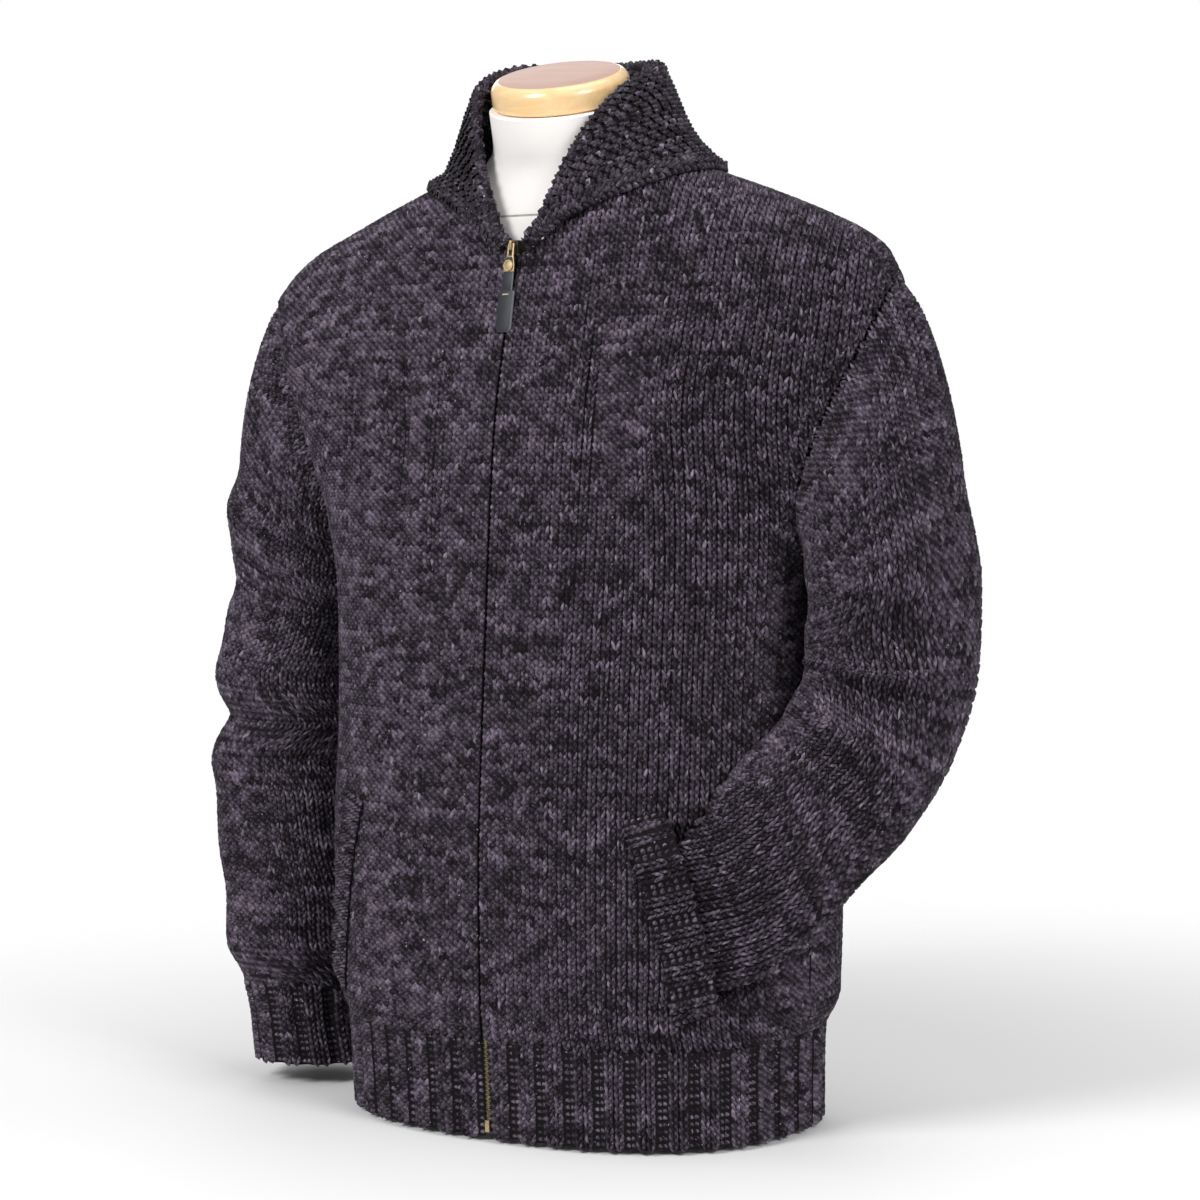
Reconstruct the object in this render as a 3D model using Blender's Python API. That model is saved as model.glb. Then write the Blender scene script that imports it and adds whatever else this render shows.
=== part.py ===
"""A chunky knitted shawl collar cardigan with a front zip, worn on a limbless dress form.

Metres, +Z up. The wearer faces -Y and the wearer's left is +X. The origin is the middle of the
form's flat foot, which is what the part stands on. The left cuff is tucked into the left pocket.
"""

import math

import bmesh
import bpy
import numpy as np
from mathutils import Matrix, Vector

# Cloth and seams
WALL = 0.004
SEAM_GAP = 0.0006
CLEARANCE = 0.0008

# Heights on the garment
HEM_Z = 0.004
RIB_TOP_Z = 0.076
UNDERARM_Z = 0.425
SHOULDER_Z = 0.625
NECK_V_Z = 0.649
NECK_TOP_Z = 0.722

# Two-by-two rib: four stitches of 6 mm
RIB_PITCH = 0.024
RIB_RELIEF = 0.0022

# Torso of the cloth, outer face: one row for each height
BODY_COLUMNS = ("z", "left", "right", "front", "back", "squareness")
BODY_ROWS = (
    (0.000, 0.1880, 0.1890, 0.130, 0.114, 2.50),
    (0.070, 0.1900, 0.1910, 0.132, 0.117, 2.50),
    (0.100, 0.2030, 0.2040, 0.134, 0.128, 2.45),
    (0.200, 0.2060, 0.2060, 0.132, 0.131, 2.45),
    (0.300, 0.2030, 0.2030, 0.124, 0.128, 2.40),
    (0.400, 0.2070, 0.2080, 0.114, 0.124, 2.30),
    (0.460, 0.2230, 0.2230, 0.108, 0.119, 2.20),
    (0.530, 0.2560, 0.2570, 0.099, 0.108, 2.10),
    (0.590, 0.2810, 0.2810, 0.085, 0.098, 2.00),
    (0.623, 0.2860, 0.2840, 0.075, 0.092, 1.95),
    (0.635, 0.2810, 0.2750, 0.071, 0.089, 1.95),
    (0.648, 0.2730, 0.2600, 0.067, 0.086, 1.95),
    (0.660, 0.2560, 0.2400, 0.064, 0.083, 1.95),
    (0.674, 0.2260, 0.2060, 0.060, 0.079, 1.95),
    (0.692, 0.1790, 0.1600, 0.056, 0.074, 1.95),
    (0.706, 0.1370, 0.1200, 0.053, 0.069, 2.00),
    (0.716, 0.1080, 0.0960, 0.051, 0.065, 2.00),
    (0.724, 0.0840, 0.0800, 0.049, 0.062, 2.00),
)

# Armhole: how far the seam comes round from the side, in degrees, and its lower fullness
ARMHOLE_FRONT = {1: 8.0, -1: 11.0}
ARMHOLE_BACK = 14.0
ARMHOLE_SAG = 0.5

# Zip
ZIP_GAP = 0.0022
ZIP_GAP_HEM = 0.0055
TAPE_WIDTH = 0.014
TAPE_THICK = 0.0012

# Pocket: the mouth's free edge by angle from the middle of the front and by height
POCKET_TOP = (56.0, 0.242)
POCKET_FOOT = (64.5, 0.108)
MOUTH_OVERLAP = 0.010
MOUTH_UNDERLAP = 0.008
POCKET_LIFT = 0.011
POCKET_PRESS = 0.014
LIFT_REACH = 0.050
PRESS_REACH = 0.050
WELT_WIDTH = 0.030
WELT_WALL = 0.0045
WELT_LIFT = {1: 0.0016, -1: 0.0009}
WELT_TOP = (0.2435, 0.2515)
WELT_FOOT = (0.096, 0.104)

# Folds of the torso: angle, height, half length, half width, depth out, slant in degrees
TORSO_FOLD_COLUMNS = ("angle", "z", "length", "width", "depth", "slant")
TORSO_FOLDS = (
    (44.0, 0.545, 0.055, 0.018, -0.0055, 6.0),
    (57.0, 0.530, 0.070, 0.016, 0.0055, 8.0),
    (-46.0, 0.520, 0.060, 0.017, -0.0060, -10.0),
    (-33.0, 0.500, 0.080, 0.020, 0.0030, -6.0),
    (28.0, 0.330, 0.090, 0.040, 0.0030, 20.0),
    (-25.0, 0.300, 0.110, 0.040, -0.0030, -15.0),
    (-40.0, 0.180, 0.080, 0.030, 0.0035, 5.0),
    (118.0, 0.400, 0.130, 0.022, 0.0060, 8.0),
    (132.0, 0.350, 0.150, 0.020, -0.0060, 10.0),
    (165.0, 0.300, 0.160, 0.030, 0.0045, 4.0),
    (205.0, 0.320, 0.150, 0.028, -0.0050, -6.0),
    (232.0, 0.370, 0.140, 0.022, 0.0060, -9.0),
    (248.0, 0.420, 0.110, 0.018, -0.0055, -8.0),
)


def body_table():
    return {name: np.array([row[i] for row in BODY_ROWS]) for i, name in enumerate(BODY_COLUMNS)}


BODY = body_table()


def smooth_interp(x, xs, ys):
    """Cubic interpolation with limited slopes, so a section never overshoots its neighbours."""
    steps = np.diff(xs)
    rises = np.diff(ys) / steps
    slopes = np.zeros_like(ys)
    same_way = rises[:-1] * rises[1:] > 0
    weights_a = 2 * steps[1:] + steps[:-1]
    weights_b = steps[1:] + 2 * steps[:-1]
    with np.errstate(divide="ignore", invalid="ignore"):
        harmonic = (weights_a + weights_b) / (weights_a / rises[:-1] + weights_b / rises[1:])
    slopes[1:-1] = np.where(same_way, harmonic, 0.0)
    slopes[0], slopes[-1] = rises[0], rises[-1]
    x = np.clip(x, xs[0], xs[-1])
    i = np.clip(np.searchsorted(xs, x) - 1, 0, len(xs) - 2)
    t = (x - xs[i]) / steps[i]
    h = steps[i]
    return (
        ys[i] * (1 + 2 * t) * (1 - t) ** 2
        + slopes[i] * h * t * (1 - t) ** 2
        + ys[i + 1] * t**2 * (3 - 2 * t)
        + slopes[i + 1] * h * t**2 * (t - 1)
    )


def smoothstep(x):
    x = np.clip(x, 0.0, 1.0)
    return x * x * (3 - 2 * x)


def base_radius(angle, z):
    """Distance from the axis to the plain torso at an angle from the middle front, in degrees."""
    left, right, f, b, n = (smooth_interp(z, BODY["z"], BODY[c]) for c in BODY_COLUMNS[1:])
    turn = np.radians(angle)
    across, along = np.sin(turn), np.cos(turn)
    wide = np.where(across > 0, left, right)
    depth = np.where(along > 0, f, b)
    return ((np.abs(across) / wide) ** n + (np.abs(along) / depth) ** n) ** (-1.0 / n)


def mouth_angle(side, z):
    """Angle of the welt's free edge at a height."""
    (top_angle, top_z), (foot_angle, foot_z) = POCKET_TOP, POCKET_FOOT
    t = (z - foot_z) / (top_z - foot_z)
    t = np.clip(t, -0.35, 1.35)
    return side * (foot_angle + (top_angle - foot_angle) * t)


def mouth_share(z):
    """How far open the pocket is at a height: 0 at both ends of the mouth."""
    t = (z - POCKET_FOOT[1]) / (POCKET_TOP[1] - POCKET_FOOT[1])
    return np.clip(1 - np.abs(2 * t - 1) ** 5, 0.0, 1.0)


def pocket_offset(angle, z, over):
    """Radial move at the left pocket: the front lifts over the cuff, the cloth under it sinks."""
    plain = base_radius(angle, z)
    toward_zip = np.radians(mouth_angle(1, z) - angle) * plain
    out = POCKET_LIFT * np.exp(-((np.maximum(toward_zip, 0.0) / LIFT_REACH) ** 2))
    inward = np.maximum(MOUTH_UNDERLAP - toward_zip, 0.0)
    sunk = -POCKET_PRESS * np.exp(-((inward / PRESS_REACH) ** 2))
    return np.where(angle > 0, np.where(over, out, sunk) * mouth_share(z), 0.0)


def fold_offset(angle, z):
    total = np.zeros(np.broadcast(angle, z).shape)
    turn = (np.asarray(angle) + 360.0) % 360.0
    for fold_angle, fold_z, length, width, depth, slant in TORSO_FOLDS:
        around = (turn - fold_angle + 180.0) % 360.0 - 180.0
        across = np.radians(around) * 0.17
        up = z - fold_z
        lean = math.radians(slant)
        along = up * math.cos(lean) + across * math.sin(lean)
        aside = across * math.cos(lean) - up * math.sin(lean)
        total = total + depth * np.exp(-((along / length) ** 2) - (aside / width) ** 2)
    return total


def torso(angle, z, over=None):
    """Point of the torso's outer face. over says which side of a pocket mouth the cloth is on."""
    angle, z = np.broadcast_arrays(np.asarray(angle, float), np.asarray(z, float))
    radius = base_radius(angle, z) + fold_offset(angle, z)
    if over is not None:
        radius = radius + pocket_offset(angle, z, over)
    turn = np.radians(angle)
    return np.stack([radius * np.sin(turn), -radius * np.cos(turn), z], -1)


def unit(v):
    return v / np.maximum(np.linalg.norm(v, axis=-1, keepdims=True), 1e-12)


def torso_normal(angle, z, over=None):
    step_angle, step_z = 0.4, 0.0015
    around = torso(angle + step_angle, z, over) - torso(angle - step_angle, z, over)
    up = torso(angle, z + step_z, over) - torso(angle, z - step_z, over)
    return unit(np.cross(around, up))


def armhole_edge(z, front, side):
    """Angle of the armhole seam at a height, measured from the middle of the front."""
    middle, half = (SHOULDER_Z + UNDERARM_Z) / 2, (SHOULDER_Z - UNDERARM_Z) / 2
    height = np.clip((z - middle) / half, -1.0, 1.0)
    reach = np.sqrt(1 - height**2) * (1 - ARMHOLE_SAG * height)
    return 90 - ARMHOLE_FRONT[side] * reach if front else 90 + ARMHOLE_BACK * reach


def neck_edge(z):
    """Angle of the front neckline at a height: 0 at the zip, rising to the shoulder."""
    t = np.clip((z - NECK_V_Z) / (NECK_TOP_Z - NECK_V_Z), 0.0, 1.0)
    return 72.0 * t**0.75


def zip_half_gap(z):
    """Half the space between the two fronts, which part a little in the rib."""
    return 0.5 * (ZIP_GAP + (ZIP_GAP_HEM - ZIP_GAP) * smoothstep((0.095 - z) / 0.03))


def level_normal(angle, z, over=None):
    """The torso's normal with its upward part left out, for the edges that meet at the rib."""
    normal = torso_normal(angle, z, over)
    return unit(normal * np.array([1.0, 1.0, 0.0]))


# Building walls


def wall_mesh(name, outer, inner, keep=None, closed=False):
    """A cloth wall between two grids of points [row, column]. keep drops cells where it is False."""
    rows, columns = outer.shape[:2]
    wide = columns if closed else columns - 1
    if keep is None:
        keep = np.ones((rows - 1, wide), bool)
    points = np.concatenate([outer.reshape(-1, 3), inner.reshape(-1, 3)])
    back = rows * columns

    def at(r, c):
        return r * columns + c % columns

    faces = []
    for r in range(rows - 1):
        for c in range(wide):
            if not keep[r, c]:
                continue
            a, b, d, e = at(r, c), at(r, c + 1), at(r + 1, c + 1), at(r + 1, c)
            faces.append((a, b, d, e))
            faces.append((back + a, back + e, back + d, back + b))
            sides = (
                ((r - 1, c), a, b),
                ((r, c + 1), b, d),
                ((r + 1, c), d, e),
                ((r, c - 1), e, a),
            )
            for (nr, nc), p, q in sides:
                if closed:
                    nc %= wide
                inside = 0 <= nr < rows - 1 and 0 <= nc < wide
                if not inside or not keep[nr, nc]:
                    faces.append((q, p, back + p, back + q))
    return mesh_object(name, points, faces)


def mesh_object(name, points, faces):
    mesh = bpy.data.meshes.new(name)
    mesh.from_pydata([tuple(p) for p in points], [], faces)
    work = bmesh.new()
    work.from_mesh(mesh)
    bmesh.ops.delete(work, geom=[v for v in work.verts if not v.link_faces], context="VERTS")
    bmesh.ops.recalc_face_normals(work, faces=work.faces)
    work.to_mesh(mesh)
    work.free()
    mesh.shade_smooth()
    mesh.set_sharp_from_angle(angle=math.radians(40))
    made = bpy.data.objects.new(name, mesh)
    bpy.context.scene.collection.objects.link(made)
    return made


def material(name, colour, roughness, metallic=0.0):
    made = bpy.data.materials.new(name)
    made.use_nodes = True
    shader = made.node_tree.nodes["Principled BSDF"]
    shader.inputs["Base Color"].default_value = (*colour, 1.0)
    shader.inputs["Roughness"].default_value = roughness
    shader.inputs["Metallic"].default_value = metallic
    return made


def finish(made, kind):
    """Give the piece a material of its own, a copy of its kind's."""
    own = kind.copy()
    own.name = kind.name + "_" + made.name
    made.data.materials.append(own)
    return made


def clear_scene():
    for old in list(bpy.data.objects):
        bpy.data.objects.remove(old)


# Fronts and back


def body_levels():
    """Heights of the panel rows, closer together where an edge curves."""
    low = np.array([RIB_TOP_Z + SEAM_GAP])
    pocket = np.linspace(POCKET_FOOT[1], POCKET_TOP[1], 8)
    waist = np.linspace(POCKET_TOP[1], UNDERARM_Z, 7)[1:-1]
    turn = np.linspace(0, math.pi, 11)
    arm = (SHOULDER_Z + UNDERARM_Z) / 2 - (SHOULDER_Z - UNDERARM_Z) / 2 * np.cos(turn)
    neck = np.array([0.637, NECK_V_Z, 0.662, 0.677, 0.692, 0.707, NECK_TOP_Z])
    return np.concatenate([low, pocket, waist, arm, neck])


def front_panel(side, cloth):
    """One front: zip edge to side seam. The left one is slit at the pocket, the right is closed."""
    name = "front_left" if side > 0 else "front_right"
    z = body_levels()
    seam_turn = np.degrees(SEAM_GAP / 0.2)
    arm = armhole_edge(z, True, side)
    outer_edge = np.where((z < UNDERARM_Z) | (z > SHOULDER_Z), 90.0, arm) - seam_turn
    zip_turn = np.degrees(np.arcsin(zip_half_gap(z) / base_radius(0.0, z)))
    inner_edge = np.maximum(zip_turn, neck_edge(z))
    inner_edge = np.minimum(inner_edge, outer_edge - 4.0)
    free_edge = mouth_angle(1, z)
    radius = base_radius(free_edge, z)
    over_edge = free_edge - np.degrees(MOUTH_OVERLAP / radius)
    under_edge = free_edge - np.degrees(MOUTH_UNDERLAP / radius)
    fade = smoothstep((z - 0.28) / 0.12)
    over_edge = over_edge * (1 - fade) + (inner_edge + (outer_edge - inner_edge) * 0.60) * fade
    under_edge = under_edge * (1 - fade) + (inner_edge + (outer_edge - inner_edge) * 0.64) * fade
    left = inner_edge[:, None] + (over_edge - inner_edge)[:, None] * np.linspace(0, 1, 8)
    right = under_edge[:, None] + (outer_edge - under_edge)[:, None] * np.linspace(0, 1, 5)
    angles = np.concatenate([left, right], 1)
    over = np.concatenate([np.ones(left.shape, bool), np.zeros(right.shape, bool)], 1)
    levels = np.repeat(z[:, None], angles.shape[1], 1)
    outer = torso(side * angles, levels, over)
    normal = torso_normal(side * angles, levels, over)
    normal[0] = level_normal(side * angles, levels, over)[0]
    inner = outer - WALL * normal
    keep = np.ones((len(z) - 1, angles.shape[1] - 1), bool)
    mouth = (z[:-1] >= POCKET_FOOT[1] - 1e-6) & (z[1:] <= POCKET_TOP[1] + 1e-6)
    if side > 0:
        keep[mouth, left.shape[1] - 1] = False
    return finish(wall_mesh(name, outer, inner, keep), cloth)


def back_panel(cloth):
    z = body_levels()
    seam_turn = np.degrees(SEAM_GAP / 0.2)
    arm = armhole_edge(z, False, 1)
    edge = np.where((z < UNDERARM_Z) | (z > SHOULDER_Z), 90.0, arm) + seam_turn
    angles = 180 + np.linspace(-1, 1, 17)[None, :] * (180 - edge)[:, None]
    levels = np.repeat(z[:, None], angles.shape[1], 1)
    signed = np.where(angles > 180, angles - 360, angles)
    under = np.zeros(angles.shape, bool)
    outer = torso(signed, levels, under)
    normal = torso_normal(signed, levels, under)
    normal[0] = level_normal(signed, levels, under)[0]
    inner = outer - WALL * normal
    return finish(wall_mesh("back", outer, inner), cloth)


def rib_stations(length, pitch=RIB_PITCH, shoulder=0.16):
    """Distances along a rib and how far each is raised, four to each rib."""
    count = max(1, round(length / pitch))
    step = length / count
    shares = (0.25 - shoulder / 2, 0.25 + shoulder / 2, 0.75 - shoulder / 2, 0.75 + shoulder / 2)
    marks = [0.0] + [(i + share) * step for i in range(count) for share in shares] + [length]
    high = [0.0] + [0.0, 1.0, 1.0, 0.0] * count + [0.0]
    return np.array(marks), np.array(high)


def hem_rib(name, start, stop, cloth):
    """A stretch of the hem's rib between two angles, ribs raised on its outer face."""
    fine = np.linspace(start, stop, 200)
    line = torso((fine + 180) % 360 - 180, np.full(200, 0.04))
    run = np.concatenate([[0], np.cumsum(np.linalg.norm(np.diff(line, axis=0), axis=1))])
    marks, high = rib_stations(run[-1])
    angles = (np.interp(marks, run, fine) + 180) % 360 - 180
    z = np.array([HEM_Z, RIB_TOP_Z - 0.010, RIB_TOP_Z])
    relief = np.array([0.9, 1.0, 0.35])[:, None] * RIB_RELIEF * high[None, :]
    grid_angle = np.repeat(angles[None, :], len(z), 0)
    grid_z = np.repeat(z[:, None], len(angles), 1)
    normal = level_normal(grid_angle, grid_z)
    face = torso(grid_angle, grid_z)
    outer = face + normal * (relief - 0.0008)[..., None]
    inner = face - normal * WALL
    return finish(wall_mesh(name, outer, inner), cloth)


def hem_ribs(cloth):
    gap = np.degrees(0.5 * ZIP_GAP_HEM / BODY["front"][0])
    seam = np.degrees(SEAM_GAP / 0.2)
    hem_rib("hem_rib_left", gap, 90 - seam, cloth)
    hem_rib("hem_rib_back", 90 + seam, 270 - seam, cloth)
    hem_rib("hem_rib_right", 270 + seam, 360 - gap, cloth)


# Sleeves: a row for each section, from the cap to the cuff's rim, as if both were on the left

ARM_COLUMNS = ("x", "y", "z", "wide", "deep", "out_x", "out_y", "out_z")
ARM_ROWS = {
    -1: (
        (0.2580, 0.003, 0.455, 0.056, 0.068, 1.0, 0.0, 0.80),
        (0.2640, 0.003, 0.395, 0.060, 0.073, 1.0, 0.0, 0.40),
        (0.2700, 0.002, 0.330, 0.062, 0.074, 1.0, 0.0, 0.10),
        (0.2770, 0.000, 0.250, 0.065, 0.072, 1.0, 0.0, 0.00),
        (0.2790, -0.002, 0.170, 0.063, 0.067, 1.0, 0.0, 0.00),
        (0.2780, -0.004, 0.105, 0.056, 0.059, 1.0, 0.0, 0.00),
        (0.2760, -0.005, 0.078, 0.047, 0.050, 1.0, 0.0, 0.00),
        (0.2730, -0.006, 0.048, 0.044, 0.046, 1.0, 0.0, 0.00),
        (0.2670, -0.007, 0.016, 0.045, 0.047, 1.0, 0.0, 0.00),
    ),
    1: (
        (0.2680, 0.006, 0.455, 0.057, 0.060, 1.0, 0.0, 0.80),
        (0.2740, 0.008, 0.398, 0.059, 0.062, 1.0, 0.0, 0.40),
        (0.2720, 0.008, 0.352, 0.059, 0.060, 0.95, 0.05, -0.05),
        (0.2640, -0.002, 0.312, 0.060, 0.052, 0.85, 0.1, -0.45),
    ),
}
CUFF_LENGTH = 0.064

# The left forearm lies along the front and goes into the pocket: its sections by angle round the
# torso, height and how far the middle stands off the plain torso
FOREARM_COLUMNS = ("angle", "z", "stand_off", "wide", "deep", "out_x", "out_y", "out_z")
FOREARM_ROWS = (
    (85.0, 0.270, 0.0450, 0.060, 0.0430, 0.60, 0.20, -0.75),
    (78.5, 0.238, 0.0290, 0.060, 0.0300, 0.40, 0.20, -0.90),
    (72.5, 0.209, 0.0160, 0.061, 0.0185, 0.30, 0.15, -0.95),
    (66.5, 0.186, 0.0045, 0.058, 0.0100, 0.20, 0.15, -0.97),
    (60.5, 0.174, -0.0015, 0.054, 0.0070, 0.15, 0.12, -0.98),
    (55.0, 0.167, -0.0048, 0.050, 0.0066, 0.12, 0.10, -0.99),
    (42.0, 0.152, -0.0125, 0.050, 0.0070, 0.10, 0.05, -0.99),
)
CAP_ROWS = 6

# Folds of the sleeves: distance down the sleeve, turn from the outer line toward the front,
# half length round it, half width along it, depth out, and how far it climbs for each degree
SLEEVE_FOLD_COLUMNS = ("run", "turn", "reach", "width", "depth", "climb")
SLEEVE_FOLDS = {
    -1: (
        (0.135, 60.0, 55.0, 0.016, 0.0060, 0.0004),
        (0.175, 75.0, 50.0, 0.018, -0.0060, 0.0004),
        (0.245, 70.0, 60.0, 0.018, 0.0045, 0.0002),
        (0.285, 60.0, 55.0, 0.016, -0.0055, -0.0001),
        (0.315, 80.0, 50.0, 0.016, 0.0040, 0.0001),
        (0.420, 60.0, 80.0, 0.022, -0.0030, 0.0002),
        (0.470, 40.0, 90.0, 0.020, 0.0030, 0.0000),
    ),
    1: (
        (0.160, 70.0, 50.0, 0.020, 0.0045, -0.0003),
        (0.205, 50.0, 50.0, 0.020, -0.0045, -0.0003),
        (0.255, 85.0, 45.0, 0.014, -0.0080, -0.0002),
        (0.290, 90.0, 50.0, 0.016, 0.0060, -0.0002),
        (0.330, 80.0, 50.0, 0.016, -0.0040, 0.0001),
        (0.375, 95.0, 60.0, 0.018, 0.0035, 0.0002),
    ),
}


def arm_sections(side):
    """Centres, sizes and frames at even steps down a sleeve, with the cuff's length set apart."""
    rows = np.array(ARM_ROWS[side])
    if side > 0:
        lower = np.array(FOREARM_ROWS)
        middle = torso(lower[:, 0], lower[:, 1])
        middle = middle + torso_normal(lower[:, 0], lower[:, 1]) * lower[:, 2:3]
        rows = np.concatenate([rows, np.concatenate([middle, lower[:, 3:]], 1)])
    knots = np.concatenate([[0], np.cumsum(np.linalg.norm(np.diff(rows[:, :3], axis=0), axis=1))])

    def at(run):
        fine = np.stack([smooth_interp(run, knots, rows[:, i]) for i in range(rows.shape[1])], 1)
        step = 0.002
        here = np.stack([smooth_interp(run + step, knots, rows[:, i]) for i in range(3)], 1)
        gone = np.stack([smooth_interp(run - step, knots, rows[:, i]) for i in range(3)], 1)
        along = unit(here - gone)
        out = fine[:, 5:8]
        lean = (out * along).sum(1, keepdims=True)
        across = unit(out - lean * along)
        front = unit(np.cross(along, across))
        return fine[:, :3], along, across, front, fine[:, 3], fine[:, 4], lean[:, 0]

    return at, knots[-1]


def section_points(at, run, turn, inset, power=2.25):
    """Rings of a sleeve at distances run and turns round it, inset from the outer face."""
    centre, along, out, front, wide, deep, lean = at(run)
    c, s = np.cos(turn), np.sin(turn)
    scale = (np.abs(c) ** power + np.abs(s) ** power) ** (-1.0 / power)
    a = (wide - inset)[:, None] * c * scale
    b = (deep - inset)[:, None] * s * scale
    ring = centre[:, None] + out[:, None] * a[..., None] + front[:, None] * b[..., None]
    return ring + along[:, None] * (lean[:, None] * a)[..., None]


def armhole_loop(side, turn, inset):
    """The armhole seam as seen from the sleeve: its points and the way the cap leaves them."""
    middle, half = (SHOULDER_Z + UNDERARM_Z) / 2, (SHOULDER_Z - UNDERARM_Z) / 2
    z = middle + (half - SEAM_GAP) * np.cos(turn)
    reach = np.abs(np.sin(turn)) * (1 - ARMHOLE_SAG * np.cos(turn))
    ahead = np.sin(turn) >= 0
    angle = np.where(ahead, 90 - ARMHOLE_FRONT[side] * reach, 90 + ARMHOLE_BACK * reach)
    point = torso(side * angle, z)
    normal = torso_normal(side * angle, z)
    centre = torso(np.array(side * 90.0), np.array(middle))
    inward = centre - point
    inward = unit(inward - (inward * normal).sum(-1, keepdims=True) * normal)
    low = ((1 - np.cos(turn)) / 2)[:, None]
    leave = unit(inward * (1.0 - 0.75 * low) + normal * (0.80 + 0.40 * low))
    seam = unit(np.roll(point, -1, 0) - np.roll(point, 1, 0))
    inside = unit(np.cross(leave, seam))
    inside = np.where((inside * (centre - 0.03 * normal - point)).sum(-1, keepdims=True) > 0, inside, -inside)
    flip = np.array([side, 1.0, 1.0])
    return (point + inset * inside) * flip, leave * flip


def sleeve_folds(side, run, turn):
    total = np.zeros((len(run), len(turn)))
    degrees = np.degrees(turn)
    for at_run, at_turn, reach, width, depth, climb in SLEEVE_FOLDS[side]:
        around = (degrees - at_turn + 180.0) % 360.0 - 180.0
        along = run[:, None] - at_run + climb * around[None, :]
        total += depth * np.exp(-((around[None, :] / reach) ** 2) - (along / width) ** 2)
    return total


def clear_of_torso(points, side, gap, over=None):
    """Move points of a part that lies on the torso out to a gap from its face."""
    flip = np.array([side, 1.0, 1.0])
    moved = points * flip
    for _ in range(3):
        angle = np.degrees(np.arctan2(moved[..., 0], -moved[..., 1]))
        z = np.clip(moved[..., 2], HEM_Z, NECK_TOP_Z)
        state = np.zeros(angle.shape, bool) if over is None else over
        face = torso(angle, z, state)
        normal = torso_normal(angle, z, state)
        apart = ((moved - face) * normal).sum(-1)
        moved = moved + normal * np.maximum(gap - apart, 0.0)[..., None]
    return moved * flip


def sleeve_grid(side, turn, inset, rows_below):
    """Rows of rings from the armhole to the cuff seam."""
    at, total = arm_sections(side)
    run = np.linspace(0.0, total - CUFF_LENGTH - SEAM_GAP, rows_below)
    rings = section_points(at, run, turn, inset)
    start, leave = armhole_loop(side, turn, inset)
    end = rings[0]
    _, along, *_ = at(np.array([0.0]))
    reach = np.linalg.norm(end - start, axis=1)[:, None]
    t = np.linspace(0, 1, CAP_ROWS + 1)[:-1, None, None]
    push_start = leave * reach * 1.1
    push_end = along * reach * 0.9
    cap = (
        (2 * t**3 - 3 * t**2 + 1) * start
        + (t**3 - 2 * t**2 + t) * push_start
        + (3 * t**2 - 2 * t**3) * end
        + (t**3 - t**2) * push_end
    )
    grid = np.concatenate([cap, rings])
    distance = np.concatenate([np.linspace(0, 0.12, CAP_ROWS + 1)[:-1], 0.12 + run])
    return grid, distance


def sleeve(side, cloth):
    name = "sleeve_left" if side > 0 else "sleeve_right"
    turn = np.linspace(0, 2 * math.pi, 21)[:-1]
    rows_below = 19
    outer, distance = sleeve_grid(side, turn, 0.0, rows_below)
    inner, _ = sleeve_grid(side, turn, WALL, rows_below)
    way = unit(outer - outer.mean(1, keepdims=True))
    folds = sleeve_folds(side, distance, turn)
    folds[0] = 0
    folds[-1] = 0
    shift = way * folds[..., None]
    moved = outer + shift
    pushed = clear_of_torso(moved[1:], side, 2 * CLEARANCE)
    inside_pocket = sleeve_under_front(pushed, side)
    pushed = np.where(inside_pocket[..., None], moved[1:], pushed)
    total_shift = np.concatenate([shift[:1], pushed - outer[1:]])
    flip = np.array([side, 1.0, 1.0])
    outer, inner = (outer + total_shift) * flip, (inner + total_shift) * flip
    return finish(wall_mesh(name, outer, inner, closed=True), cloth)


def sleeve_under_front(points, side):
    """Which points of the left sleeve have gone in through the pocket mouth."""
    angle = np.degrees(np.arctan2(points[..., 0], -points[..., 1]))
    z = points[..., 2]
    near = (z > POCKET_FOOT[1]) & (z < POCKET_TOP[1])
    return (side > 0) & near & (angle < mouth_angle(1, z) - 0.5)


def cuff(side, cloth):
    """The ribbed cuff, from the sleeve's end to its open rim."""
    name = "cuff_left" if side > 0 else "cuff_right"
    at, total = arm_sections(side)
    fine = np.linspace(0, 2 * math.pi, 400)
    middle = section_points(at, np.array([total - CUFF_LENGTH / 2]), fine, 0.0)[0]
    length = np.concatenate([[0], np.cumsum(np.linalg.norm(np.diff(middle, axis=0), axis=1))])
    marks, high = rib_stations(length[-1])
    marks, high = marks[1:-1], high[1:-1]
    turn = np.interp(marks, length, fine)
    run = np.array([total - CUFF_LENGTH, total - CUFF_LENGTH + 0.010, total - 0.03, total])
    relief = np.array([0.35, 1.0, 1.0, 0.9])[:, None] * RIB_RELIEF * high[None, :] - 0.0012
    outer = section_points(at, run, turn, 0.0)
    inner = section_points(at, run, turn, WALL)
    way = unit(outer - inner)
    outer = outer + way * relief[..., None]
    flip = np.array([side, 1.0, 1.0])
    return finish(wall_mesh(name, outer * flip, inner * flip, closed=True), cloth)


# Collar

COLLAR_WALL = 0.0055
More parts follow.
